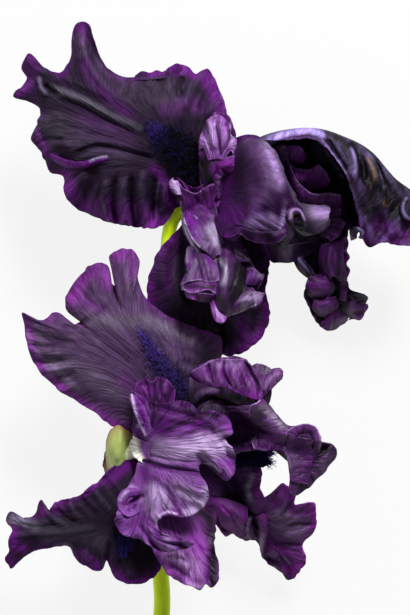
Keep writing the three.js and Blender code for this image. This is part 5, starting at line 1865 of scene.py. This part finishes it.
fold("fallTubeLip", crumpled, fallPurpleFinish, {
    "around": 50, "along": 12, "ruffle": (0.3, 4), "drawn": """
256,545,0.3 251,534,0.3 253,519,0.3
251,544,4 247,533,4.5 249,519,3
ash 0.9 4 251,543 248,532 250,520
"""})
fold("fallMiddleLobe", crumpled, fallPurpleFinish, {
    "around": 90, "along": 30, "ruffle": (0.4, 4), "drawn": """
208,498,1 226,500,2 248,508,1
214,508,3 230,514,5 248,520,3
216,518,1 222,528,2 232,536,1 242,543,2 249,538,1
-1 3 220,506 232,518 240,532
1 4 230,506 240,518 245,532
glow 0.5 12 222,512 240,526
dark 0.6 4 210,498 228,500 246,506
"""})
flap = [lowerStandardFront]
fold("standardFlap", flap, orchidFinish, {
    "around": 60, "along": 18, "ruffle": (0.3, 4), "drawn": """
150,433,0.3 151,420,0.3 145,404,0.3 137,394,0.3
146,434,2 140,422,2.5 135,407,2.5 132,392,1
148,430,1.5 144,420,2 138,408,2 135,397,1
pale 0.8 3.5 146,433 140,422 135,407 132,393
glow 0.8 5 147,424 142,410 138,400
"""})
fold("standardEar", flap, orchidFinish, {
    "around": 70, "along": 16, "ruffle": (0.4, 4), "drawn": """
143,486,0.3 131,485,0.3 120,492,0.3 120,505,0.3 130,513,0.3 142,508,0.3
141,489,0.7 131,489,0.78 124,494,0.78 124,503,0.78 131,508,0.7 140,504,0.62
138,493,0.5 132,493,0.5 128,497,0.5 128,501,0.5 132,504,0.5 137,500,0.5
pale 0.3 4 128,488 122,496
glow 0.9 5 136,494 129,498 134,503
dark 0.6 3 133,497 138,502
dark 0.5 1.5 141,489 131,490 125,495 125,503 132,508
"""})
fold("standardHinge", flap, hingeFinish, {
    "around": 50, "along": 24, "ruffle": (0.2, 4), "drawn": """
152,442,-0.4 150,449,-0.4 151,457,-0.4
142,438,1 140,448,1.4 143,458,0.8
135,436,0.8 131,440,1 130.5,447,1.2 133,453,1 138,458,0.8 143,461,0.4
pale 1 9 134,440 135,449 139,457
pale 1 6 134,440 135,450 140,458
glow 0.5 4 150,440 149,448 150,455
dry 0.35 1.6 134,436 131,440
"""})


# Beards: one soft hair, doubled until there are enough, then each is set on its fall

hairShape = {
    "sides": 4, "joints": 3, "taper": 0.8,
    "bed": (120, 60), "scatter": 0.0007,  # the grid of roots on a fall, and how far they stray in metres
}


def hairs(name, count):  # a mesh of at least count hairs on one spot, and how many vertices each has
    bm = bmesh.new()
    bmesh.ops.create_circle(bm, segments=hairShape["sides"], radius=1)
    edges = list(bm.edges)
    taper = hairShape["taper"]
    for k in range(1, hairShape["joints"] + 1):
        grown = bmesh.ops.extrude_edge_only(bm, edges=edges)["geom"]
        for vert in (g for g in grown if isinstance(g, bmesh.types.BMVert)):
            vert.co = (vert.co.x * taper, vert.co.y * taper, k / hairShape["joints"])
        edges = [g for g in grown if isinstance(g, bmesh.types.BMEdge)]
    bmesh.ops.contextual_create(bm, geom=edges)
    bmesh.ops.recalc_face_normals(bm, faces=bm.faces)
    hairVerts = len(bm.verts)
    for k in range(math.ceil(math.log2(count))):
        bmesh.ops.duplicate(bm, geom=bm.verts[:] + bm.edges[:] + bm.faces[:])
    mesh = bpy.data.meshes.new(name)
    bm.to_mesh(mesh)
    bm.free()
    return mesh, hairVerts


def beard(name, node, material, tuft):
    mesh, hairVerts = hairs(name, tuft["count"])
    count = len(mesh.vertices) // hairVerts
    source = np.random.default_rng(tuft["seed"])
    rays = loft(contoursOf(tuft["fall"]), *hairShape["bed"])
    normals = np.cross(np.gradient(rays, axis=0), np.gradient(rays, axis=1))
    cells = np.linalg.norm(normals, axis=2).ravel()
    normals = (normals * np.sign(normals[..., 2:3])).reshape(-1, 3) / np.maximum(cells, 1e-12)[:, None]
    outward = np.gradient(rays, axis=1).reshape(-1, 3)
    outward /= np.maximum(np.linalg.norm(outward, axis=1, keepdims=True), 1e-12)
    points = rays.reshape(-1, 3).copy()
    points[:, 2] += reliefOf(points[:, :2], tuft["fall"]["folds"])

    width = tuft["width"] / 2000
    near, where = strokeDistance(points[:, :2], pointsOf(tuft["line"]), width)
    near = near / np.interp(where, (0, 0.5, 0.8, 1), tuft["taper"])
    weights = cells * np.clip(1.1 - np.minimum(near, width) / width, 0, None) ** 0.7 * (near < width)
    chosen = source.choice(len(points), count, p=weights / weights.sum())
    middle = (1 - near[chosen] / width)[:, None]
    scatter = hairShape["scatter"]
    root = points[chosen] + source.uniform(-scatter, scatter, (count, 3)) * (1, 1, 0)
    length = tuft["length"] / 1000 * (0.4 + 0.7 * middle) * source.uniform(0.65, 1.2, (count, 1))
    lean = outward[chosen] * source.uniform(0.0, 1.0, (count, 1))
    lean = lean + source.normal(0, 0.5, (count, 3)) * (1, 1, 0.3)
    heading = normals[chosen] * source.uniform(0.45, 1.0, (count, 1)) + lean * 0.8
    heading /= np.linalg.norm(heading, axis=1, keepdims=True)
    side = np.cross(heading, (0.3, 0.5, 0.81))
    side /= np.linalg.norm(side, axis=1, keepdims=True)
    other = np.cross(heading, side)
    thick = tuft["thickness"] / 1000 * source.uniform(0.7, 1.2, (count, 1))
    bend = (outward[chosen] * 0.7 - (0, 0, 0.6)) * length * source.uniform(0, 0.5, (count, 1))

    unit = np.empty(len(mesh.vertices) * 3, np.float32)
    mesh.vertices.foreach_get("co", unit)
    unit = unit.reshape(count, hairVerts, 3)
    across = side[:, None] * unit[..., 0:1] + other[:, None] * unit[..., 1:2]
    up = unit[..., 2:3]
    placed = root[:, None] + across * thick[:, None] + heading[:, None] * length[:, None] * up
    placed = placed + bend[:, None] * up ** 2
    mesh.vertices.foreach_set("co", placed.astype(np.float32).ravel())
    tip = mesh.attributes.new("tip", "FLOAT", "POINT")
    glow = np.interp(where[chosen], (0, 0.75, 1), tuft["glow"])[:, None]
    tones = up[..., 0] * glow * source.uniform(0.4, 1.0, (count, 1)) * (0.4 + 0.9 * middle)
    tip.data.foreach_set("value", tones.astype(np.float32).ravel())
    mesh.update()
    finishPiece(name, mesh, [node] if node else [], material)


def beardFinish(name, root, tip):
    f = Finish(name, **{"Specular IOR Level": 0.15, "Roughness": 0.6})
    toTip = f.attribute("tip") * 1.1 + (f.noise(f.place(), 300, 2) - 0.5) * 0.5
    f.colour(f.mix(toTip.clipped(), hexColour(root), hexColour(tip)))
    return f.material


beardDark = beardFinish("beardBlack", "030204", "4a33a8")
beardViolet = beardFinish("beardViolet", "0d0718", "6448bc")

# Widths, lengths and thicknesses in millimetres; glow: how bright the hairs are at the throat, further on
# and at the tuft's end; taper: the tuft's width at the throat, halfway, near the end and at the end
beard("upperBeardFrontHairs", "upper_beard_front", beardDark, {
    "fall": upperFallFront, "seed": 1, "count": 2040, "width": 25, "length": 4.6, "thickness": 0.15,
    "glow": (0.02, 0.05, 0.5), "taper": (0.8, 0.9, 0.75, 0.4),
    "line": "205,172 192,165 178,154 164,141 155,133"})
beard("upperBeardLowHairs", "upper_beard_low", beardDark, {
    "fall": upperFallLow, "seed": 2, "count": 500, "width": 8, "length": 3.6, "thickness": 0.15,
    "glow": (0.3, 0.5, 0.8), "taper": (1, 1, 0.8, 0.5), "line": "200,232 204,255 206,282"})
beard("upperBeardBackHairs", "upper_beard_back", beardDark, {
    "fall": upperFallBack, "seed": 3, "count": 400, "width": 7, "length": 3.4, "thickness": 0.15,
    "glow": (0.3, 0.5, 0.8), "taper": (1, 1, 0.8, 0.5), "line": "198,190 186,165 174,146"})
beard("lowerBeardTopHairs", "lower_beard_top", beardViolet, {
    "fall": lowerFallTop, "seed": 4, "count": 2040, "width": 13, "length": 3.6, "thickness": 0.13,
    "glow": (0.2, 0.6, 0.8), "taper": (1.3, 0.9, 0.5, 0.2), "line": "178,392 167,374 156,356 142,331"})
beard("lowerBeardLeftHairs", "lower_beard_left", beardDark, {
    "fall": lowerFallLeft, "seed": 5, "count": 1000, "width": 12, "length": 4.4, "thickness": 0.15,
    "glow": (0.1, 0.4, 1.0), "taper": (0.8, 1, 0.9, 0.5), "line": "128,505 127,522 124,546"})
beard("lowerBeardRightHairs", "lower_beard_right", beardDark, {
    "fall": tongue, "seed": 6, "count": 1000, "width": 12, "length": 4.2, "thickness": 0.17,
    "glow": (0.15, 0.35, 0.6), "taper": (1.1, 1, 0.9, 0.9), "line": "234,458 248,457 262,457 272,460"})
beard("upperBeardFrontWhiskers", None, beardDark, {
    "fall": upperFallFront, "seed": 7, "count": 1000, "width": 50, "length": 5.0, "thickness": 0.09,
    "glow": (0.02, 0.05, 0.3), "taper": (1, 1, 0.7, 0.5), "line": "206,178 192,166 178,154 166,143"})
beard("lowerBeardTopWhiskers", None, beardDark, {
    "fall": lowerFallTop, "seed": 8, "count": 1000, "width": 46, "length": 2.6, "thickness": 0.09,
    "glow": (0.05, 0.2, 0.5), "taper": (1.4, 0.9, 0.5, 0.4), "line": "186,392 172,378 158,358 146,338"})


# Table, light and camera: metres and watts

studio = {
    "tableSize": 6, "tableColour": (0.06, 0.06, 0.06, 1), "tableGlow": 0.87, "worldStrength": 0.23,
    "keyLight": {"place": (0.35, 1.15, 1.3), "size": (0.5, 0.4), "power": 62},
    "fillLight": {"place": (-1.3, -0.1, 0.8), "size": (1.0, 1.4), "power": 7}, "target": (0, 0, 0.05),
    "lens": 180, "sensor": 36, "clipEnd": 20, "camera": (-0.0055, 0.01275, 1.5875),
}
white = (1, 1, 1, 1)

table = bpy.data.meshes.new("table")
bm = bmesh.new()
bmesh.ops.create_grid(bm, x_segments=1, y_segments=1, size=studio["tableSize"])
bm.to_mesh(table)
bm.free()
tableTop = bpy.data.objects.new("tableTop", table)
bpy.context.scene.collection.objects.link(tableTop)
tableFinish = Finish("tablePaint", **{
    "Roughness": 0.9, "Specular IOR Level": 0.0, "Base Color": studio["tableColour"], "Emission Color": white,
    "Emission Strength": studio["tableGlow"]})
table.materials.append(tableFinish.material)

for name in ("keyLight", "fillLight"):
    light = bpy.data.lights.new(name, "AREA")
    light.shape = "RECTANGLE"
    light.size, light.size_y = studio[name]["size"]
    light.energy = studio[name]["power"]
    lamp = bpy.data.objects.new(name, light)
    lamp.location = studio[name]["place"]
    lamp.rotation_euler = (Vector(studio["target"]) - lamp.location).to_track_quat("-Z", "Y").to_euler()
    bpy.context.scene.collection.objects.link(lamp)

world = bpy.data.worlds.new("studio")
world.use_nodes = True
background = world.node_tree.nodes["Background"]
background.inputs["Color"].default_value = white
background.inputs["Strength"].default_value = studio["worldStrength"]
bpy.context.scene.world = world
bpy.context.scene.view_settings.view_transform = "Standard"

lens = bpy.data.cameras.new("lens")
lens.lens = studio["lens"]
lens.sensor_width = studio["sensor"]
lens.clip_end = studio["clipEnd"]
camera = bpy.data.objects.new("camera", lens)
camera.location = studio["camera"]
bpy.context.scene.collection.objects.link(camera)
bpy.context.scene.camera = camera

print("stage: table, light and camera")
